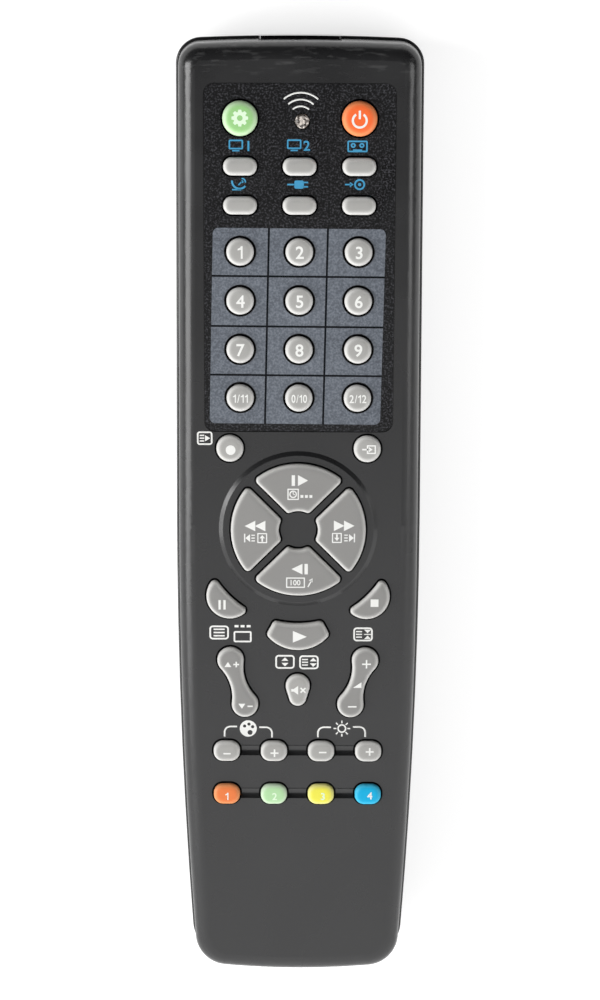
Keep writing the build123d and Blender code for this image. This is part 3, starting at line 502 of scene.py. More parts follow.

# %% [markdown]
# ## Inside the case
#
# The pieces inside are dressed too, because the battery door comes off. They differ only in a few
# values, so a table gives these instead of code: the real material, its two tones, its roughness,
# what else sets it apart, and its pieces. The metals keep the default index of refraction.

# %% Inner finishes
INNER_FINISHES = (
    # Dull and soft, and near black: a painted shade that keeps the gaps round the keys dark.
    ("raw_silicone_sheet", ("#161617", "#1f1f21"), 0.55, {"ior": 1.43}, ("keypad_mat",)),
    # Dull, like pencil lead.
    ("carbon_ink", ("#121213", "#1e1e20"), 0.6, {"grain_mm": 0.2}, ("carbon_pads",)),
    # Bright but milky.
    (
        "zinc_plated_steel", ("#9b9a94", "#bdbcb6"), 0.32,
        {"metallic": 1.0, "grain_mm": 0.2, "depth_mm": 0.004}, ("board_screws", "case_screw"),
    ),
    # Brighter, smoother and warmer than zinc.
    (
        "nickel_plated_spring_steel", ("#b4b2ac", "#d0cec8"), 0.24,
        {"metallic": 1.0, "grain_mm": 0.3, "depth_mm": 0.003},
        ("contact_plates", "battery_springs", "chip_leads"),
    ),
    # Clear and glossy, like a boiled sweet.
    ("blue_tinted_epoxy", ("#3d4160", "#565b80"), 0.12, {"ior": 1.55}, ("ir_led",)),
    # Charcoal with a fine grit.
    (
        "moulded_epoxy_compound", ("#171718", "#232325"), 0.55, {"grain_mm": 0.15},
        ("control_chip", "transistor"),
    ),
    # A thick, mottled glaze.
    ("dipped_ceramic", ("#b8621f", "#d08036"), 0.22, {"grain_mm": 1.2}, ("resonator",)),
    # A thin glossy skin.
    ("shrunk_pvc_sleeve", ("#18243f", "#26365c"), 0.25, {"grain_mm": 0.8}, ("capacitor",)),
)
for name, tones, roughness, more, nodes in INNER_FINISHES:
    dress(moulded(name, tones, roughness, **more)[0], *nodes)
print("inner finishes", len(INNER_FINISHES))

# %% [markdown]
# The circuit board is glass fibre laminate under green solder mask, glossy like enamel, with
# copper tracks that show through it as paler lines. Modelled tracks would be thousands of faces,
# so a brick pattern draws them at a track's real pitch. A cell has a lacquered steel jacket with
# smooth highlights, dark with a copper band at one end, so its colour changes with Y.

# %% Board and cells
TRACK_PITCH_MM = 1.27
TRACK_MM = 0.3
TRACK_LENGTH_MM = 9 * TRACK_PITCH_MM
BAND_MM = 12.0
BAND_FADE_MM = 0.2

solder_mask, tree, shader = moulded("green_solder_mask", ("#1d5231", "#2a6b41"), 0.3, grain_mm=0.5)
place = add_node(tree, "ShaderNodeTexCoord").outputs["Object"]
tracks = add_node(tree, "ShaderNodeTexBrick", {
    "Vector": place, "Scale": 1.0, "Mortar Size": TRACK_MM * MM / 2,
    "Brick Width": TRACK_LENGTH_MM * MM, "Row Height": TRACK_PITCH_MM * MM,
}).outputs["Fac"]
lay_over(tree, shader, tracks, "#4f8f55")
dress(solder_mask, "circuit_board")

cell_jacket, tree, shader = moulded(
    "lacquered_steel_jacket", ("#2c3a46", "#36454f"), 0.22, grain_mm=0.8, depth_mm=0.004
)
band_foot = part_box("batteries")[1].y - BAND_MM * MM
copper = fade(tree, "Y", band_foot, band_foot + BAND_FADE_MM * MM)
lay_over(tree, shader, copper, "#b98048")
dress(cell_jacket, "batteries")
print("board tracks every", TRACK_PITCH_MM, "mm")

# %% [markdown]
# ## Printed marks
#
# The marks are screen printed, so they stand a few hundredths of a millimetre proud. A picture on
# the surface would blur up close. Each mark is a thin closed slab of ink instead, cut from flat
# outlines, and its edge stays sharp. First come those outlines, as lists of points in millimetres.
# Where a mark has a hole, its shape is a list of several outlines.

# %% Outlines
CORNERS = ((1, 1), (-1, 1), (-1, -1), (1, -1))


def disc(radius, x=0.0, y=0.0, steps=40):
    """A circle."""
    turns = [math.tau * i / steps for i in range(steps)]
    return [(x + radius * math.cos(t), y + radius * math.sin(t)) for t in turns]


def slab(width, height, x=0.0, y=0.0, corner=0.0, steps=5):
    """A rectangle, sharp or with round corners."""
    if not corner:
        signs = ((-1, -1), (1, -1), (1, 1), (-1, 1))
        return [(x + sx * width / 2, y + sy * height / 2) for sx, sy in signs]
    points = []
    for quarter, (sx, sy) in enumerate(CORNERS):
        for step in range(steps + 1):
            angle = math.radians(90 * (quarter + step / steps))
            across = sx * (width / 2 - corner) + corner * math.cos(angle)
            points.append((x + across, y + sy * (height / 2 - corner) + corner * math.sin(angle)))
    return points


def turned(points, degrees, x=0.0, y=0.0):
    """An outline turned round the origin, then moved."""
    c, s = math.cos(math.radians(degrees)), math.sin(math.radians(degrees))
    return [(x + c * px - s * py, y + s * px + c * py) for px, py in points]


def arrow_head(length, breadth, degrees=0, x=0.0, y=0.0):
    """A filled triangle that points along +X before it is turned."""
    points = ((-length / 2, -breadth / 2), (length / 2, 0), (-length / 2, breadth / 2))
    return turned(points, degrees, x, y)


def ring_part(inner, outer, start, end, x=0.0, y=0.0, steps=32):
    """Part of a ring, between two angles."""
    angles = [math.radians(start + (end - start) * i / steps) for i in range(steps + 1)]
    rim = [(x + outer * math.cos(a), y + outer * math.sin(a)) for a in angles]
    return rim + [(x + inner * math.cos(a), y + inner * math.sin(a)) for a in reversed(angles)]


def cross(size, line, x=0.0, y=0.0, degrees=0):
    """A plus sign: one corner of it, turned four times."""
    a, b = size / 2, line / 2
    corner = [(b, b), (b, a), (-b, a), (-b, b)]
    return turned([p for q in range(4) for p in turned(corner, 90 * q)[:3]], degrees, x, y)


def frame_of(width, height, line, x=0.0, y=0.0, corner=0.5):
    """A box drawn with an even line: its outline and its hole."""
    inner = slab(width - 2 * line, height - 2 * line, x, y, max(corner - line, 0.05))
    return [slab(width, height, x, y, corner), inner]


def cog(root, tip, teeth, hole):
    """A gear wheel with a hole. Each tooth is four points, at shares of its pitch."""
    points = []
    for i in range(teeth):
        for radius, share in ((root, -0.42), (tip, -0.22), (tip, 0.22), (root, 0.42)):
            angle = math.tau * (i + share) / teeth
            points.append((radius * math.cos(angle), radius * math.sin(angle)))
    return [points, disc(hole)]


print("a cog has", len(cog(1.2, 1.6, 8, 0.5)[0]), "points on its rim")

# %% [markdown]
# Next, a slab of ink is raised from its outlines. A Solidify modifier thickens a face, but a face
# can't have holes. Blender's tessellation splits a flat shape with holes into triangles: these
# serve as its top and its underside, and a wall joins the two along each outline. Letters come
# from a text curve, scaled to the wanted height.

# %% Ink
INK_RISE_MM = 0.03
INK_SINK_MM = 0.01  # below the surface, so that no gap shows under the ink
SAME_POINT_MM = 0.0005
TEXT_BOLD = 0.018
LETTER_STEPS = 6  # for each curved part. With more, thickening folds the notches of an 8 over


def raise_ink(mesh, outlines, top_mm):
    """Adds one slab of ink to a mesh. Outlines after the first are holes."""
    points = [point for outline in outlines for point in outline]
    heights = (top_mm - INK_SINK_MM, top_mm + INK_RISE_MM)
    foot, head = [[mesh.verts.new(Vector((x, y, z)) * MM) for x, y in points] for z in heights]
    for corners in tessellate_polygon([[Vector((x, y, 0)) for x, y in o] for o in outlines]):
        mesh.faces.new([foot[i] for i in corners])
        mesh.faces.new([head[i] for i in corners])
    first = 0
    for outline in outlines:
        ring = range(first, first + len(outline))
        for i, j in zip(ring, [*ring[1:], first]):
            mesh.faces.new((foot[i], foot[j], head[j], head[i]))
        first += len(outline)


def raise_letters(mesh, words, height, x, y, top_mm, width=None):
    """Adds words to a mesh, centred on a place and scaled to a height, and a width if given."""
    curve = bpy.data.curves.new("letters", "FONT")
    curve.body, curve.fill_mode, curve.extrude, curve.offset = words, "BOTH", 0.5, TEXT_BOLD
    curve.resolution_u = LETTER_STEPS
    maker = bpy.data.objects.new("letters", curve)
    bpy.context.collection.objects.link(maker)
    ready = maker.evaluated_get(bpy.context.evaluated_depsgraph_get())
    letters = bpy.data.meshes.new_from_object(ready)
    bpy.data.objects.remove(maker)
    corners = [v.co for v in letters.vertices]
    low, high = [[pick(c[i] for c in corners) for i in (0, 1)] for pick in (min, max)]
    tall = height / (high[1] - low[1])
    wide = width / (high[0] - low[0]) if width else tall
    middle = ((low[0] + high[0]) / 2, (low[1] + high[1]) / 2)
    thick = INK_RISE_MM + INK_SINK_MM
    for vertex in letters.vertices:
        across, along = (vertex.co.x - middle[0]) * wide, (vertex.co.y - middle[1]) * tall
        rise = (vertex.co.z + 0.5) * thick + top_mm - INK_SINK_MM
        vertex.co = Vector((x + across, y + along, rise)) * MM
    mesh.from_mesh(letters)
    bpy.data.meshes.remove(letters)


def printed(name, body, ink, top_mm, shapes, words=()):
    """Prints shapes and words on a body at a height, as one piece."""
    mesh = bmesh.new()
    for outlines in shapes:
        raise_ink(mesh, outlines, top_mm)
    for word in words:
        raise_letters(mesh, *word[:4], top_mm, *word[4:])
    bmesh.ops.remove_doubles(mesh, verts=mesh.verts, dist=SAME_POINT_MM * MM)
    bmesh.ops.recalc_face_normals(mesh, faces=mesh.faces)
    data = bpy.data.meshes.new(name)
    mesh.to_mesh(data)
    mesh.free()
    data.materials.append(ink)
    piece = bpy.data.objects.new(name, data)
    bpy.context.collection.objects.link(piece)
    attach(piece, body)
    return piece


def screen_ink(name, dark, light, gloss=0.5):
    """Screen printing ink: dull, in two tones, because the screen lays it a little unevenly."""
    ink, _, shader = moulded(name, (dark, light), 0.5, grain_mm=0.12, depth_mm=0.004)
    shader.inputs["Specular IOR Level"].default_value = gloss
    return ink


white_ink = screen_ink("white_screen_ink", "#d9d9d6", "#efefec")
faint_ink = screen_ink("thin_white_screen_ink", "#d3ebcb", "#e4f4de")
black_ink = screen_ink("matt_black_screen_ink", "#06070b", "#0e1015", 0.1)
blue_ink = screen_ink("blue_screen_ink", "#2b83ad", "#3f9bc6")
# The slate ink follows the grain of the film, so it looks like fine stone. Its pale ridges are
# a painted highlight where the grain catches the light.
slate_ink, tree, shader = moulded(
    "slate_ink_on_film", ("#40454e", "#60666f"), 0.45, grain_mm=FILM_GRAIN_MM, depth_mm=0.03
)
place = add_node(tree, "ShaderNodeTexCoord").outputs["Object"]
ridge_highlight = specks(tree, place, FILM_GRAIN_MM, 0.42, 0.66, most=0.4, detail=4.0)
lay_over(tree, shader, ridge_highlight, "#878e98")
print("ink stands", INK_RISE_MM, "mm proud")

# %% [markdown]
# ## Numbers on the keys
#
# Each number key carries plain figures. A text curve gives all of them but the 1: on the keys it
# has a flag, which the font's has not, so it is drawn from a few points. In the last row the
# figures are squeezed to fit the key. A finished mark rides on its key, so it goes down with it.

# %% Numbers
DIGIT_MM = 2.65
PAIR_MM = 1.75
DIGIT_SHIFT_MM = 0.1
DIGITS = ("one", "two", "three", "four", "five", "six", "seven", "eight", "nine")
# The last row: its figures, and the width that they are squeezed to.
PAIRS = {"key_eleven": ("1/11", 3.2), "key_zero": ("0/10", 3.3), "key_twelve": ("2/12", 3.6)}
# Widths, gaps and the outline of a 1 are shares of the height.
GLYPH_WIDTHS = {"1": 0.42, "/": 0.36}
OTHER_GLYPH_WIDTH = 0.62
GLYPH_GAP = 0.12
ONE = (
    (0.18, -0.5), (0.18, 0.5), (0.05, 0.5), (-0.04, 0.37), (-0.22, 0.28), (-0.22, 0.15),
    (0.03, 0.21), (0.03, -0.5),
)


def middle_of(node):
    """The middle of a solid seen from above, in millimetres."""
    low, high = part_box(node)
    return (low.x + high.x) / 2 / MM, (low.y + high.y) / 2 / MM


def flagged_one(height, x, y, squeeze=1.0):
    """A figure 1 with its flag."""
    return [[(x + px * height * squeeze, y + py * height) for px, py in ONE]]


def squeezed(text, height, width, x, y):
    """Lays narrow figures side by side: shapes for each 1, letters for the rest."""
    shares = [GLYPH_WIDTHS.get(glyph, OTHER_GLYPH_WIDTH) for glyph in text]
    squeeze = width / height / (sum(shares) + GLYPH_GAP * (len(text) - 1))
    shapes, words, edge = [], [], x - width / 2
    for glyph, share in zip(text, shares):
        wide = share * height * squeeze
        if glyph == "1":
            shapes.append(flagged_one(height, edge + wide / 2, y, squeeze))
        else:
            words.append((glyph, height, edge + wide / 2, y, wide))
        edge += wide + GLYPH_GAP * height * squeeze
    return shapes, words


marks = {f"key_{word}": str(i + 1) for i, word in enumerate(DIGITS)}
marks.update({node: text for node, (text, _) in PAIRS.items()})
for node, text in marks.items():
    x, y = middle_of(node)
    x += DIGIT_SHIFT_MM
    if node in PAIRS:
        shapes, words = squeezed(text, PAIR_MM, PAIRS[node][1], x, y)
    elif text == "1":
        shapes, words = [flagged_one(DIGIT_MM, x, y)], []
    else:
        shapes, words = [], [(text, DIGIT_MM, x, y)]
    printed(f"{node}_mark", node, white_ink, top_of(node), shapes, words)
print("numbers", len(marks))

# %% [markdown]
# ## Signs on the keys
#
# The other keys carry signs that players of every make share. Each could be a text symbol, but
# few fonts have them all, so each is a list of shapes. Their places are in the frame's
# millimetres, so a sign lies where it was printed on the key, even off its middle.


# %% Signs on the keys
def lines(width, x, y, count=3, pitch=0.62, line=0.26):
    """A few lines one above the other, as a sign for text."""
    return [[slab(width, line, x, y + (i - (count - 1) / 2) * pitch)] for i in range(count)]


def page_step(x, y, side):
    """A stop bar, a small triangle, lines and a boxed arrow: one page back or on."""
    return [
        [slab(0.26, 1.9, x - side * 2.4, y)],
        [arrow_head(1.0, 1.7, 90 + 90 * side, x - side * 1.75, y)],
        *lines(0.75, x - side * 0.6, y, line=0.24),
        frame_of(2.1, 2.2, 0.24, x + side * 1.35, y, corner=0.1),
        [arrow_head(0.7, 1.15, 90 * side, x + side * 1.35, y + side * 0.3)],
        [slab(0.34, 0.75, x + side * 1.35, y - side * 0.4)],
    ]


power_sign = [[ring_part(1.2, 1.66, 122, 418, 12.38, 86.13)], [slab(0.46, 1.75, 12.38, 87.3, 0.1)]]
clock_box = [
    frame_of(2.45, 2.45, 0.26, -1.12, 7.2, corner=0.1),
    [disc(0.82, -1.12, 7.2), disc(0.56, -1.12, 7.2)],
    [slab(0.2, 0.62, -1.12, 7.42)],
    [slab(0.5, 0.2, -0.97, 7.15)],
]
arrow_up_right = [
    [turned(slab(1.7, 0.26), 62, 2.5, -12.4)],
    [arrow_head(0.8, 0.95, 62, 2.9, -11.55)],
]
volume_sign = [
    [cross(1.9, 0.32, 14.85, -30.43)],
    [[(11.95, -35.75), (13.8, -35.75), (13.8, -34.5)]],
    [slab(1.85, 0.32, 11.84, -40.02)],
]
horn = ((-1.4, -0.3), (-0.85, -0.3), (0.1, -1.0), (0.1, 1.0), (-0.85, 0.3), (-1.4, 0.3))
loudspeaker = [[[(x, y - 36.35) for x, y in horn]], [cross(1.5, 0.34, 1.15, -36.35, 45)]]


def step_sign(x, y, side):
    """A small triangle and a plus or a minus: one channel up or down."""
    sign = cross(1.25, 0.32, x + 0.95, y) if side > 0 else slab(1.15, 0.32, x + 0.95, y)
    return [[arrow_head(1.15, 1.5, 90 * side, x - 0.85, y)], [sign]]


# Each key's shapes, and the figures that some keys carry.
SIGNS = {
    "set_key": [[turned(o, 0, -12.39, 86.55) for o in cog(1.3, 1.75, 8, 0.58)]],
    "power_key": power_sign,
    "record_key": [[disc(1.05, -14.43, 16.61)]],
    "input_key": [
        frame_of(1.95, 1.9, 0.28, 15.45, 16.84, corner=0.12),
        [slab(1.5, 0.34, 14.25, 16.84)],
        [arrow_head(0.85, 1.15, 0, 15.3, 16.84)],
    ],
    "up_key": [
        [slab(0.72, 2.3, -1.09, 10.2)],
        [arrow_head(2.15, 2.4, 0, 0.96, 10.2)],
        *clock_box,
        *[[slab(0.62, 0.62, 0.75 + 0.95 * i, 6.75)] for i in range(3)],
    ],
    "left_key": [
        [arrow_head(2.25, 2.3, 180, -10.3, 0.24)],
        [arrow_head(2.25, 2.3, 180, -8.15, 0.24)],
        *page_step(-9.04, -2.4, 1),
    ],
    "right_key": [
        [arrow_head(2.25, 2.3, 0, 8.72, 0.36)],
        [arrow_head(2.25, 2.3, 0, 10.87, 0.36)],
        *page_step(9.6, -2.3, -1),
    ],
    "down_key": [
        [arrow_head(2.35, 2.35, 180, -0.25, -9.19)],
        [slab(0.72, 2.3, 1.72, -9.19)],
        frame_of(4.05, 2.3, 0.26, -0.55, -12.19, corner=0.1),
        *arrow_up_right,
    ],
    "pause_key": [[slab(0.5, 2.1, -16.33 + side * 0.53, -17.28)] for side in (-1, 1)],
    "stop_key": [[slab(1.7, 1.65, 16.45, -16.78)]],
    "play_key": [[arrow_head(3.0, 2.6, 0, 0.42, -24.34)]],
    "channel_rocker": [*step_sign(-14.25, -30.6, 1), *step_sign(-11.25, -40.0, -1)],
    "volume_rocker": volume_sign,
    "mute_key": loudspeaker,
    "contrast_down_key": [[slab(1.6, 0.34, -15.33, -50.78)]],
    "contrast_up_key": [[cross(1.75, 0.36, -5.0, -50.62)]],
    "brightness_down_key": [[slab(1.65, 0.34, 5.5, -50.43)]],
    "brightness_up_key": [[cross(1.75, 0.36, 15.72, -50.25)]],
    "red_key": [flagged_one(1.65, -15.35, -60.55)],
}
SIGN_WORDS = {
    "down_key": [("100", 1.2, -0.55, -12.19)],
    "green_key": [("2", 1.65, -4.95, -60.55)],
    "yellow_key": [("3", 1.65, 5.58, -60.5)],
    "blue_key": [("4", 1.65, 15.83, -60.3)],
}
FAINT_MARKS = ("set_key", "green_key", "yellow_key")
for node in sorted({*SIGNS, *SIGN_WORDS}):
    ink = faint_ink if node in FAINT_MARKS else white_ink
    top = top_of(node)
    printed(f"{node}_mark", node, ink, top, SIGNS.get(node, []), SIGN_WORDS.get(node, ()))
print("signs", len({*SIGNS, *SIGN_WORDS}))

# %% [markdown]
# ## Marks on the label and the face
#
# Over the number keys the film is printed slate blue, in twelve cells with black lines between.
# The print went on slightly askew, as it often does, so the cells lean a little to the left
# towards the tail. One slab with thin black lines on top would show the lines standing proud. So
# a black ground comes first, and each cell is a slab on it, with a round hole for its key.

# %% Number panel
PANEL_LINES_X = (-18.09, -6.35, 5.97, 18.08)
PANEL_LINES_Y = (63.6, 53.5, 42.9, 32.5, 22.07)
PANEL_LINE_MM = 0.42
PANEL_CORNER_MM = 1.2
PANEL_CORNER_STEPS = 6
PANEL_LEAN = 0.0195
PANEL_TILT = 0.006
KEY_HOLE_MM = 3.4
KEY_HOLE_STEPS = 56

film_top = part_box("face_label")[1].z / MM


def askew(points):
    """Leans the print: points further down move left, and points to the right move down."""
    top = PANEL_LINES_Y[0]
    return [(x - PANEL_LEAN * (top - y), y - PANEL_TILT * x) for x, y in points]


def key_hole(column, row):
    """A round hole for the key of a cell."""
    return disc(KEY_HOLE_MM, *middle_of(list(marks)[row * 3 + column]), KEY_HOLE_STEPS)


def panel_part(left, right, foot, head, rounded):
    """One outline of the panel, with those of its four corners round that are the panel's own."""
    points = []
    for quarter, (x, y) in enumerate(((right, head), (left, head), (left, foot), (right, foot))):
        if not rounded[quarter]:
            points.append((x, y))
            continue
        sx, sy = CORNERS[quarter]
        for step in range(PANEL_CORNER_STEPS + 1):
            angle = math.radians(90 * (quarter + step / PANEL_CORNER_STEPS))
            across = x + PANEL_CORNER_MM * (math.cos(angle) - sx)
            points.append((across, y + PANEL_CORNER_MM * (math.sin(angle) - sy)))
    return askew(points)


def panel_cell(column, row):
    """A cell's outline and its key hole. Between two cells it stops short of the black line."""
    gap = PANEL_LINE_MM / 2
    left = PANEL_LINES_X[column] + (gap if column else 0)
    right = PANEL_LINES_X[column + 1] - (gap if column < 2 else 0)
    head = PANEL_LINES_Y[row] - (gap if row else 0)
    foot = PANEL_LINES_Y[row + 1] + (gap if row < 3 else 0)
    at_corner = [(column, row) == place for place in ((2, 0), (0, 0), (0, 3), (2, 3))]
    return [panel_part(left, right, foot, head, at_corner), key_hole(column, row)]


places = [(column, row) for row in range(4) for column in range(3)]
whole = panel_part(
    PANEL_LINES_X[0], PANEL_LINES_X[-1], PANEL_LINES_Y[-1], PANEL_LINES_Y[0], [True] * 4
)
ground = [whole, *[key_hole(*place) for place in places]]
printed("panel_ground", "case", black_ink, film_top, [ground])
cells = [panel_cell(*place) for place in places]
printed("number_panel", "case", slate_ink, film_top + INK_RISE_MM, cells)
print("panel cells", len(cells))

# %% [markdown]
# Above the six bar keys stand small blue pictures of what each one controls: two screens, a tape,
# a dish, a cable plug and a jack. Simple outlines draw them, as they do the signs, and one piece
# holds them all because they are printed together.

# %% Blue pictures
BLUE_LINE = 0.32


def screen(x, y, number):
    """A screen on its foot, and the number beside it."""
    picture = [
        frame_of(3.0, 2.0, BLUE_LINE, x - 0.85, y + 0.2, corner=0.3),
        [slab(1.5, 0.3, x - 0.85, y - 1.08)],
    ]
    return picture, (number, 2.1, x + 1.75, y - 0.1)


tape = [
    frame_of(4.2, 2.4, BLUE_LINE, 12.0, 80.7, corner=0.3),
    [disc(0.52, 11.1, 80.9), disc(0.2, 11.1, 80.9)],
    [disc(0.52, 12.9, 80.9), disc(0.2, 12.9, 80.9)],
    [slab(1.9, 0.26, 12.0, 79.95)],
]
dish = [
    [ring_part(1.35, 1.75, 175, 320, -12.5, 73.4)],
    [turned(slab(1.1, 0.26), 48, -12.35, 73.0)],
    [disc(0.28, -11.95, 73.3)],
    [slab(1.9, 0.3, -13.1, 71.65)],
    [ring_part(0.52, 0.8, -15, 100, -11.95, 73.3)],
]
plug = [
    [slab(2.0, 1.7, -0.1, 72.75, 0.4)],
    [slab(0.95, 0.3, 1.3, 73.2)],
    [slab(0.95, 0.3, 1.3, 72.3)],
    [slab(1.5, 0.32, -1.8, 72.75)],
]
jack = [
    [disc(1.15, 12.5, 72.8), disc(0.78, 12.5, 72.8)],
    [disc(0.34, 12.5, 72.8)],
    [slab(1.3, 0.3, 10.1, 72.8)],
    [arrow_head(0.75, 1.1, 0, 10.85, 72.8)],
]
first_screen, first_number = screen(-12.4, 80.8, "1")
second_screen, second_number = screen(-0.3, 80.9, "2")
pictures = [*first_screen, *second_screen, *tape, *dish, *plug, *jack]
printed("source_pictures", "case", blue_ink, film_top, pictures, [first_number, second_number])
print("blue shapes", len(pictures))

# %% [markdown]
# The white marks on the face are signs for pages of text and for the picture, which the small keys
# under them change. They are outlines again, because straight frames and lines need no other tool.

# %% White marks on the face
FACE_MM = 22.5
LINE = 0.36
SUN = (9.65, -45.4)
PALETTE_X, PALETTE_Y = -10.74, -45.46
PALETTE_SPOTS = ((-0.8, 0.55), (0.15, 1.0), (0.95, 0.4))


def page_frame(x, y):
    """The frame of a page of text."""
    return frame_of(4.2, 3.1, LINE, x, y, corner=0.75)


def up_and_down(x, y, gap, inwards=False):
    """Two small triangles that point apart, or towards each other."""
    turn = -90 if inwards else 90
    return [
        [arrow_head(0.78, 1.5, turn, x, y + gap)],
        [arrow_head(0.78, 1.5, -turn, x, y - gap)],
    ]


FACE_SIGNS = [
    frame_of(3.3, 2.9, 0.34, -19.96, 18.93, corner=0.6),
    *lines(0.95, -20.55, 18.93, pitch=0.6, line=0.28),
    [arrow_head(1.1, 1.3, 0, -19.35, 18.93)],
    page_frame(-17.02, -23.83),
    *lines(2.4, -17.02, -23.83, pitch=0.72, line=0.32),
    frame_of(3.9, 2.5, LINE, -11.95, -24.75, corner=0.4),
    *[[slab(0.85, 0.5, -13.25 + 1.3 * i, -22.4)] for i in range(3)],
    page_frame(14.07, -24.13),
    *lines(1.3, 13.2, -24.13, line=0.28),
    *up_and_down(15.05, -24.13, 0.66, inwards=True),
    [slab(1.5, 0.22, 15.05, -24.13)],
    page_frame(-2.78, -30.36),
    *up_and_down(-2.78, -30.36, 0.62),
    page_frame(2.4, -30.44),
    *lines(1.3, 1.55, -30.44, line=0.28),
    *up_and_down(3.35, -30.44, 0.62),
    [
        disc(1.85, PALETTE_X, PALETTE_Y),
        *[disc(0.36, PALETTE_X + x, PALETTE_Y + y, 20) for x, y in PALETTE_SPOTS],
        disc(0.55, PALETTE_X + 0.4, PALETTE_Y - 0.9, 24),
    ],
    [disc(0.98, *SUN), disc(0.66, *SUN)],
]
printed("face_signs", "case", white_ink, FACE_MM, FACE_SIGNS)
print("face shapes", len(FACE_SIGNS))

# %% [markdown]
# ## Marks that Geometry Nodes make
#
# Some marks repeat by a rule or follow a path: the brackets over the picture keys, the rays of the
# sun, the arcs over the signal lamp and the cut facets of its lens. They could be lists of points
# too, but a tree says the rule itself, and has named inputs for its sizes. One function runs a
# tree and keeps the plain mesh.

# %% Running a tree
INK_THICK = (INK_RISE_MM + INK_SINK_MM) * MM
INK_MIDDLE_MM = (INK_RISE_MM - INK_SINK_MM) / 2


def new_rule(name, sizes):
    """A tree with an input for each size. Returns it and its inputs."""
    tree = bpy.data.node_groups.new(name, "GeometryNodeTree")
    tree.interface.new_socket("Geometry", in_out="OUTPUT", socket_type="NodeSocketGeometry")
    tree.interface.new_socket("Geometry", in_out="INPUT", socket_type="NodeSocketGeometry")
    for size, kind in sizes.items():
        tree.interface.new_socket(size, in_out="INPUT", socket_type="NodeSocket" + kind)
    return tree, tree.nodes.new("NodeGroupInput").outputs


def end_rule(tree, geometry, material, centre=None):
    """Ends a tree: moves what it made, makes its instances real and gives them a material."""
    if centre is not None:
        move = {"Geometry": geometry, "Translation": centre}
        geometry = add_node(tree, "GeometryNodeTransform", move).outputs[0]
    real = add_node(tree, "GeometryNodeRealizeInstances", {"Geometry": geometry})
    dressed = add_node(
        tree, "GeometryNodeSetMaterial", {"Geometry": real.outputs[0], "Material": material}
    )
    add_node(tree, "NodeGroupOutput", {"Geometry": dressed.outputs[0]})


def run_rule(name, body, tree, sizes, points=(), edges=()):
    """Runs a tree on a few points and edges, and keeps what it makes as a plain mesh."""
    start = bpy.data.meshes.new(name)
    start.from_pydata([Vector(p) * MM for p in points], edges, [])
    piece = bpy.data.objects.new(name, start)
    bpy.context.collection.objects.link(piece)
    modifier = piece.modifiers.new(name, "NODES")
    modifier.node_group = tree
    for socket in tree.interface.items_tree:
        if socket.in_out == "INPUT" and socket.name in sizes:
            modifier[socket.identifier] = sizes[socket.name]
    ready = piece.evaluated_get(bpy.context.evaluated_depsgraph_get())
    made = bpy.data.meshes.new_from_object(ready)
    piece.modifiers.remove(modifier)
    piece.data = made
    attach(piece, body)
    print(name, "triangles", sum(len(p.vertices) - 2 for p in made.polygons))
    return piece


def sweep_line(tree, path, given):
    """Sweeps a flat section along a path, level all the way, and ends the tree."""
    level = add_node(tree, "GeometryNodeSetCurveNormal", {"Curve": path}, mode="Z_UP")
    section = add_node(tree, "GeometryNodeCurvePrimitiveQuadrilateral", {
        "Width": given["Line width"], "Height": given["Ink thickness"]
    })
    line = add_node(tree, "GeometryNodeCurveToMesh", {
        "Curve": level.outputs[0], "Profile Curve": section.outputs[0], "Fill Caps": True
    })
    end_rule(tree, line.outputs[0], white_ink)


print("ink is", round(INK_THICK / MM, 3), "mm thick")

# %% [markdown]
# A bracket over a pair of picture keys is a line with one round corner. An outline would need its
# arcs worked out. Here the tree makes a path of three points, rounds it and sweeps it, so the ink
# has one width all along.

# %% Brackets
line_rule, given = new_rule("printed_line", {
    "Line width": "Float", "Ink thickness": "Float", "Corner radius": "Float"
})
path = add_node(line_rule, "GeometryNodeMeshToCurve", {"Mesh": given["Geometry"]})
rounded = add_node(line_rule, "GeometryNodeFilletCurve", {
    "Curve": path.outputs[0], "Radius": given["Corner radius"], "Count": 8
}, mode="POLY")
sweep_line(line_rule, rounded.outputs[0], given)

BRACKETS = (
    ((-15.87, -47.3), (-15.87, -45.0), (-13.17, -45.0)),
    ((-8.35, -45.15), (-5.55, -45.15), (-5.55, -47.5)),
    ((4.46, -47.4), (4.46, -45.1), (7.26, -45.1)),
    ((12.06, -45.0), (14.76, -45.0), (14.76, -47.3)),
)
bracket_points = [(x, y, FACE_MM + INK_MIDDLE_MM) for run in BRACKETS for x, y in run]
bracket_edges = [(3 * i + j, 3 * i + j + 1) for i in range(len(BRACKETS)) for j in (0, 1)]
line_sizes = {"Line width": 0.38 * MM, "Ink thickness": INK_THICK, "Corner radius": 1.3 * MM}
run_rule("picture_brackets", "case", line_rule, line_sizes, bracket_points, bracket_edges)

# %% [markdown]
# The sun over the right pair of keys is a ring with eight rays. They could be set one by one, but
# instances on a circle, each turned outwards, are sure to be even.

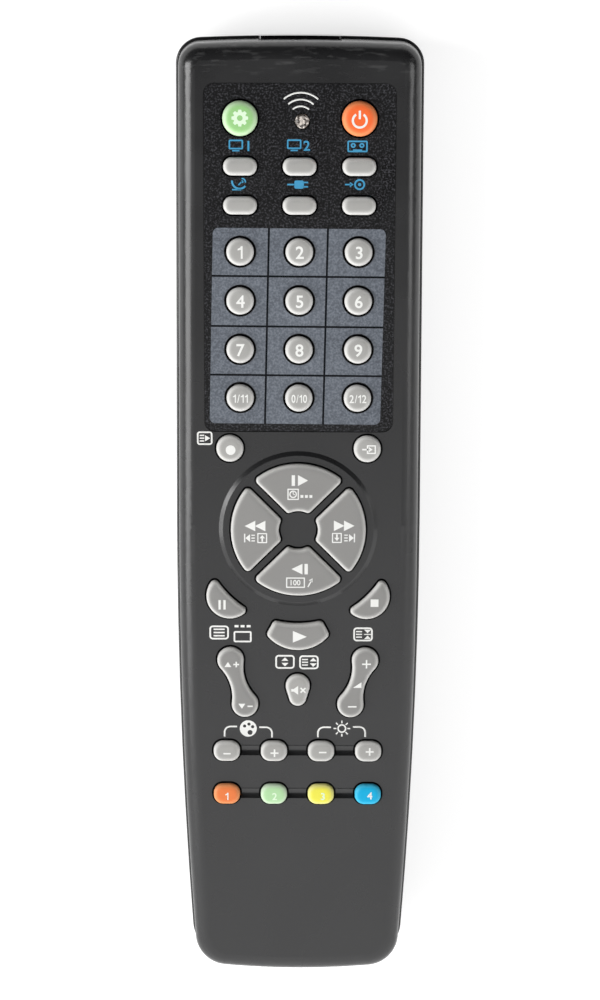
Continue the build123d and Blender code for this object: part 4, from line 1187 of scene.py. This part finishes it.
# %% Rays of the sun
ray_rule, given = new_rule("ring_of_rays", {
    "Rays": "Int", "Ring radius": "Float", "Ray size": "Vector", "Centre": "Vector"
})
ring = add_node(
    ray_rule, "GeometryNodeMeshCircle", {"Vertices": given["Rays"], "Radius": given["Ring radius"]}
)
ray = add_node(ray_rule, "GeometryNodeMeshCube", {"Size": given["Ray size"]})
outwards = add_node(ray_rule, "GeometryNodeInputPosition")
heading = add_node(
    ray_rule, "FunctionNodeAlignRotationToVector", {"Vector": outwards.outputs[0]}, axis="X"
)
rays = add_node(ray_rule, "GeometryNodeInstanceOnPoints", {
    "Points": ring.outputs[0], "Instance": ray.outputs[0], "Rotation": heading.outputs[0]
})
end_rule(ray_rule, rays.outputs[0], white_ink, given["Centre"])
ray_sizes = {
    "Rays": 8,
    "Ring radius": 1.5 * MM,
    "Ray size": Vector((0.62 * MM, 0.27 * MM, INK_THICK)),
    "Centre": Vector((*SUN, FACE_MM + INK_MIDDLE_MM)) * MM,
}
run_rule("sun_rays", "case", ray_rule, ray_sizes)

# %% [markdown]
# The three arcs over the signal lamp show that it sends. Swept arcs that are scaled up would have
# thicker and thicker lines. So one arc is copied, each copy is scaled by its number, and only then
# is the line swept.

# %% Arcs over the signal lamp
arc_rule, given = new_rule("signal_arcs", {
    "Arcs": "Int", "First radius": "Float", "Radius step": "Float", "Sweep": "Float",
    "Line width": "Float", "Ink thickness": "Float", "Centre": "Vector",
})
slots = add_node(arc_rule, "GeometryNodeMeshLine", {"Count": given["Arcs"], "Offset": (0, 0, 0)})
number = add_node(arc_rule, "GeometryNodeInputIndex")
reach = add_node(arc_rule, "ShaderNodeMath", {
    0: number.outputs[0], 1: given["Radius step"], 2: given["First radius"]
}, operation="MULTIPLY_ADD")
start_angle = add_node(arc_rule, "ShaderNodeMath", {
    0: given["Sweep"], 1: -0.5, 2: math.pi / 2
}, operation="MULTIPLY_ADD")
unit_arc = add_node(arc_rule, "GeometryNodeCurveArc", {
    "Start Angle": start_angle.outputs[0], "Sweep Angle": given["Sweep"],
    "Resolution": 32, "Radius": 1.0,
})
arcs = add_node(arc_rule, "GeometryNodeInstanceOnPoints", {
    "Points": slots.outputs[0], "Instance": unit_arc.outputs[0], "Scale": reach.outputs[0]
})
moved = add_node(arc_rule, "GeometryNodeTransform", {
    "Geometry": arcs.outputs[0], "Translation": given["Centre"]
})
loose = add_node(arc_rule, "GeometryNodeRealizeInstances", {"Geometry": moved.outputs[0]})
sweep_line(arc_rule, loose.outputs[0], given)
arc_sizes = {
    "Arcs": 3,
    "First radius": 2.6 * MM,
    "Radius step": 1.4 * MM,
    "Sweep": math.radians(82),
    "Line width": 0.34 * MM,
    "Ink thickness": INK_THICK,
    "Centre": Vector((0.22, 86.31, film_top + INK_MIDDLE_MM)) * MM,
}
run_rule("signal_arcs", "case", arc_rule, arc_sizes)

# %% [markdown]
# The lamp's lens has cut facets that spread the light. A bump would leave its surface smooth from
# the side. They are small pyramids on a grid instead, kept inside the lens, and turned and sized
# at random with a fixed seed.

# %% Lamp facets
FACETS_ACROSS = 11
LEAST_TURN, MOST_TURN = (0, 0, 0), (0.25, 0.25, math.tau)
LEAST_SIZE, MOST_SIZE = (0.75, 0.75, 0.7), (1.15, 1.15, 1.3)
FACET_SINK_MM = 0.04

facet_rule, given = new_rule("lens_facets", {
    "Facet pitch": "Float", "Lens radius": "Float", "Facet radius": "Float",
    "Facet height": "Float", "Centre": "Vector", "Seed": "Int",
})
spread = add_node(facet_rule, "ShaderNodeMath", {
    0: given["Facet pitch"], 1: FACETS_ACROSS - 1.0
}, operation="MULTIPLY")
grid = add_node(facet_rule, "GeometryNodeMeshGrid", {
    "Size X": spread.outputs[0], "Size Y": spread.outputs[0],
    "Vertices X": FACETS_ACROSS, "Vertices Y": FACETS_ACROSS,
})
where = add_node(facet_rule, "GeometryNodeInputPosition")
from_axis = add_node(facet_rule, "ShaderNodeVectorMath", {0: where.outputs[0]}, operation="LENGTH")
inside = add_node(facet_rule, "ShaderNodeMath", {
    0: from_axis.outputs["Value"], 1: given["Lens radius"]
}, operation="LESS_THAN")
facet = add_node(facet_rule, "GeometryNodeMeshCone", {
    "Vertices": 4, "Radius Top": 0.0,
    "Radius Bottom": given["Facet radius"], "Depth": given["Facet height"],
})
any_turn = add_node(facet_rule, "FunctionNodeRandomValue", {
    0: LEAST_TURN, 1: MOST_TURN, "Seed": given["Seed"]
}, data_type="FLOAT_VECTOR")
any_size = add_node(facet_rule, "FunctionNodeRandomValue", {
    0: LEAST_SIZE, 1: MOST_SIZE, "Seed": given["Seed"]
}, data_type="FLOAT_VECTOR")
facets = add_node(facet_rule, "GeometryNodeInstanceOnPoints", {
    "Points": grid.outputs[0], "Selection": inside.outputs[0], "Instance": facet.outputs[0],
    "Rotation": any_turn.outputs[0], "Scale": any_size.outputs[0],
})
end_rule(facet_rule, facets.outputs[0], tinted_epoxy, given["Centre"])
lens = Vector((*middle_of("signal_lamp"), top_of("signal_lamp") - FACET_SINK_MM))
facet_sizes = {
    "Facet pitch": 0.3 * MM,
    "Lens radius": 1.2 * MM,
    "Facet radius": 0.24 * MM,
    "Facet height": 0.2 * MM,
    "Centre": lens * MM,
    "Seed": 7,
}
run_rule("lamp_facets", "case", facet_rule, facet_sizes)
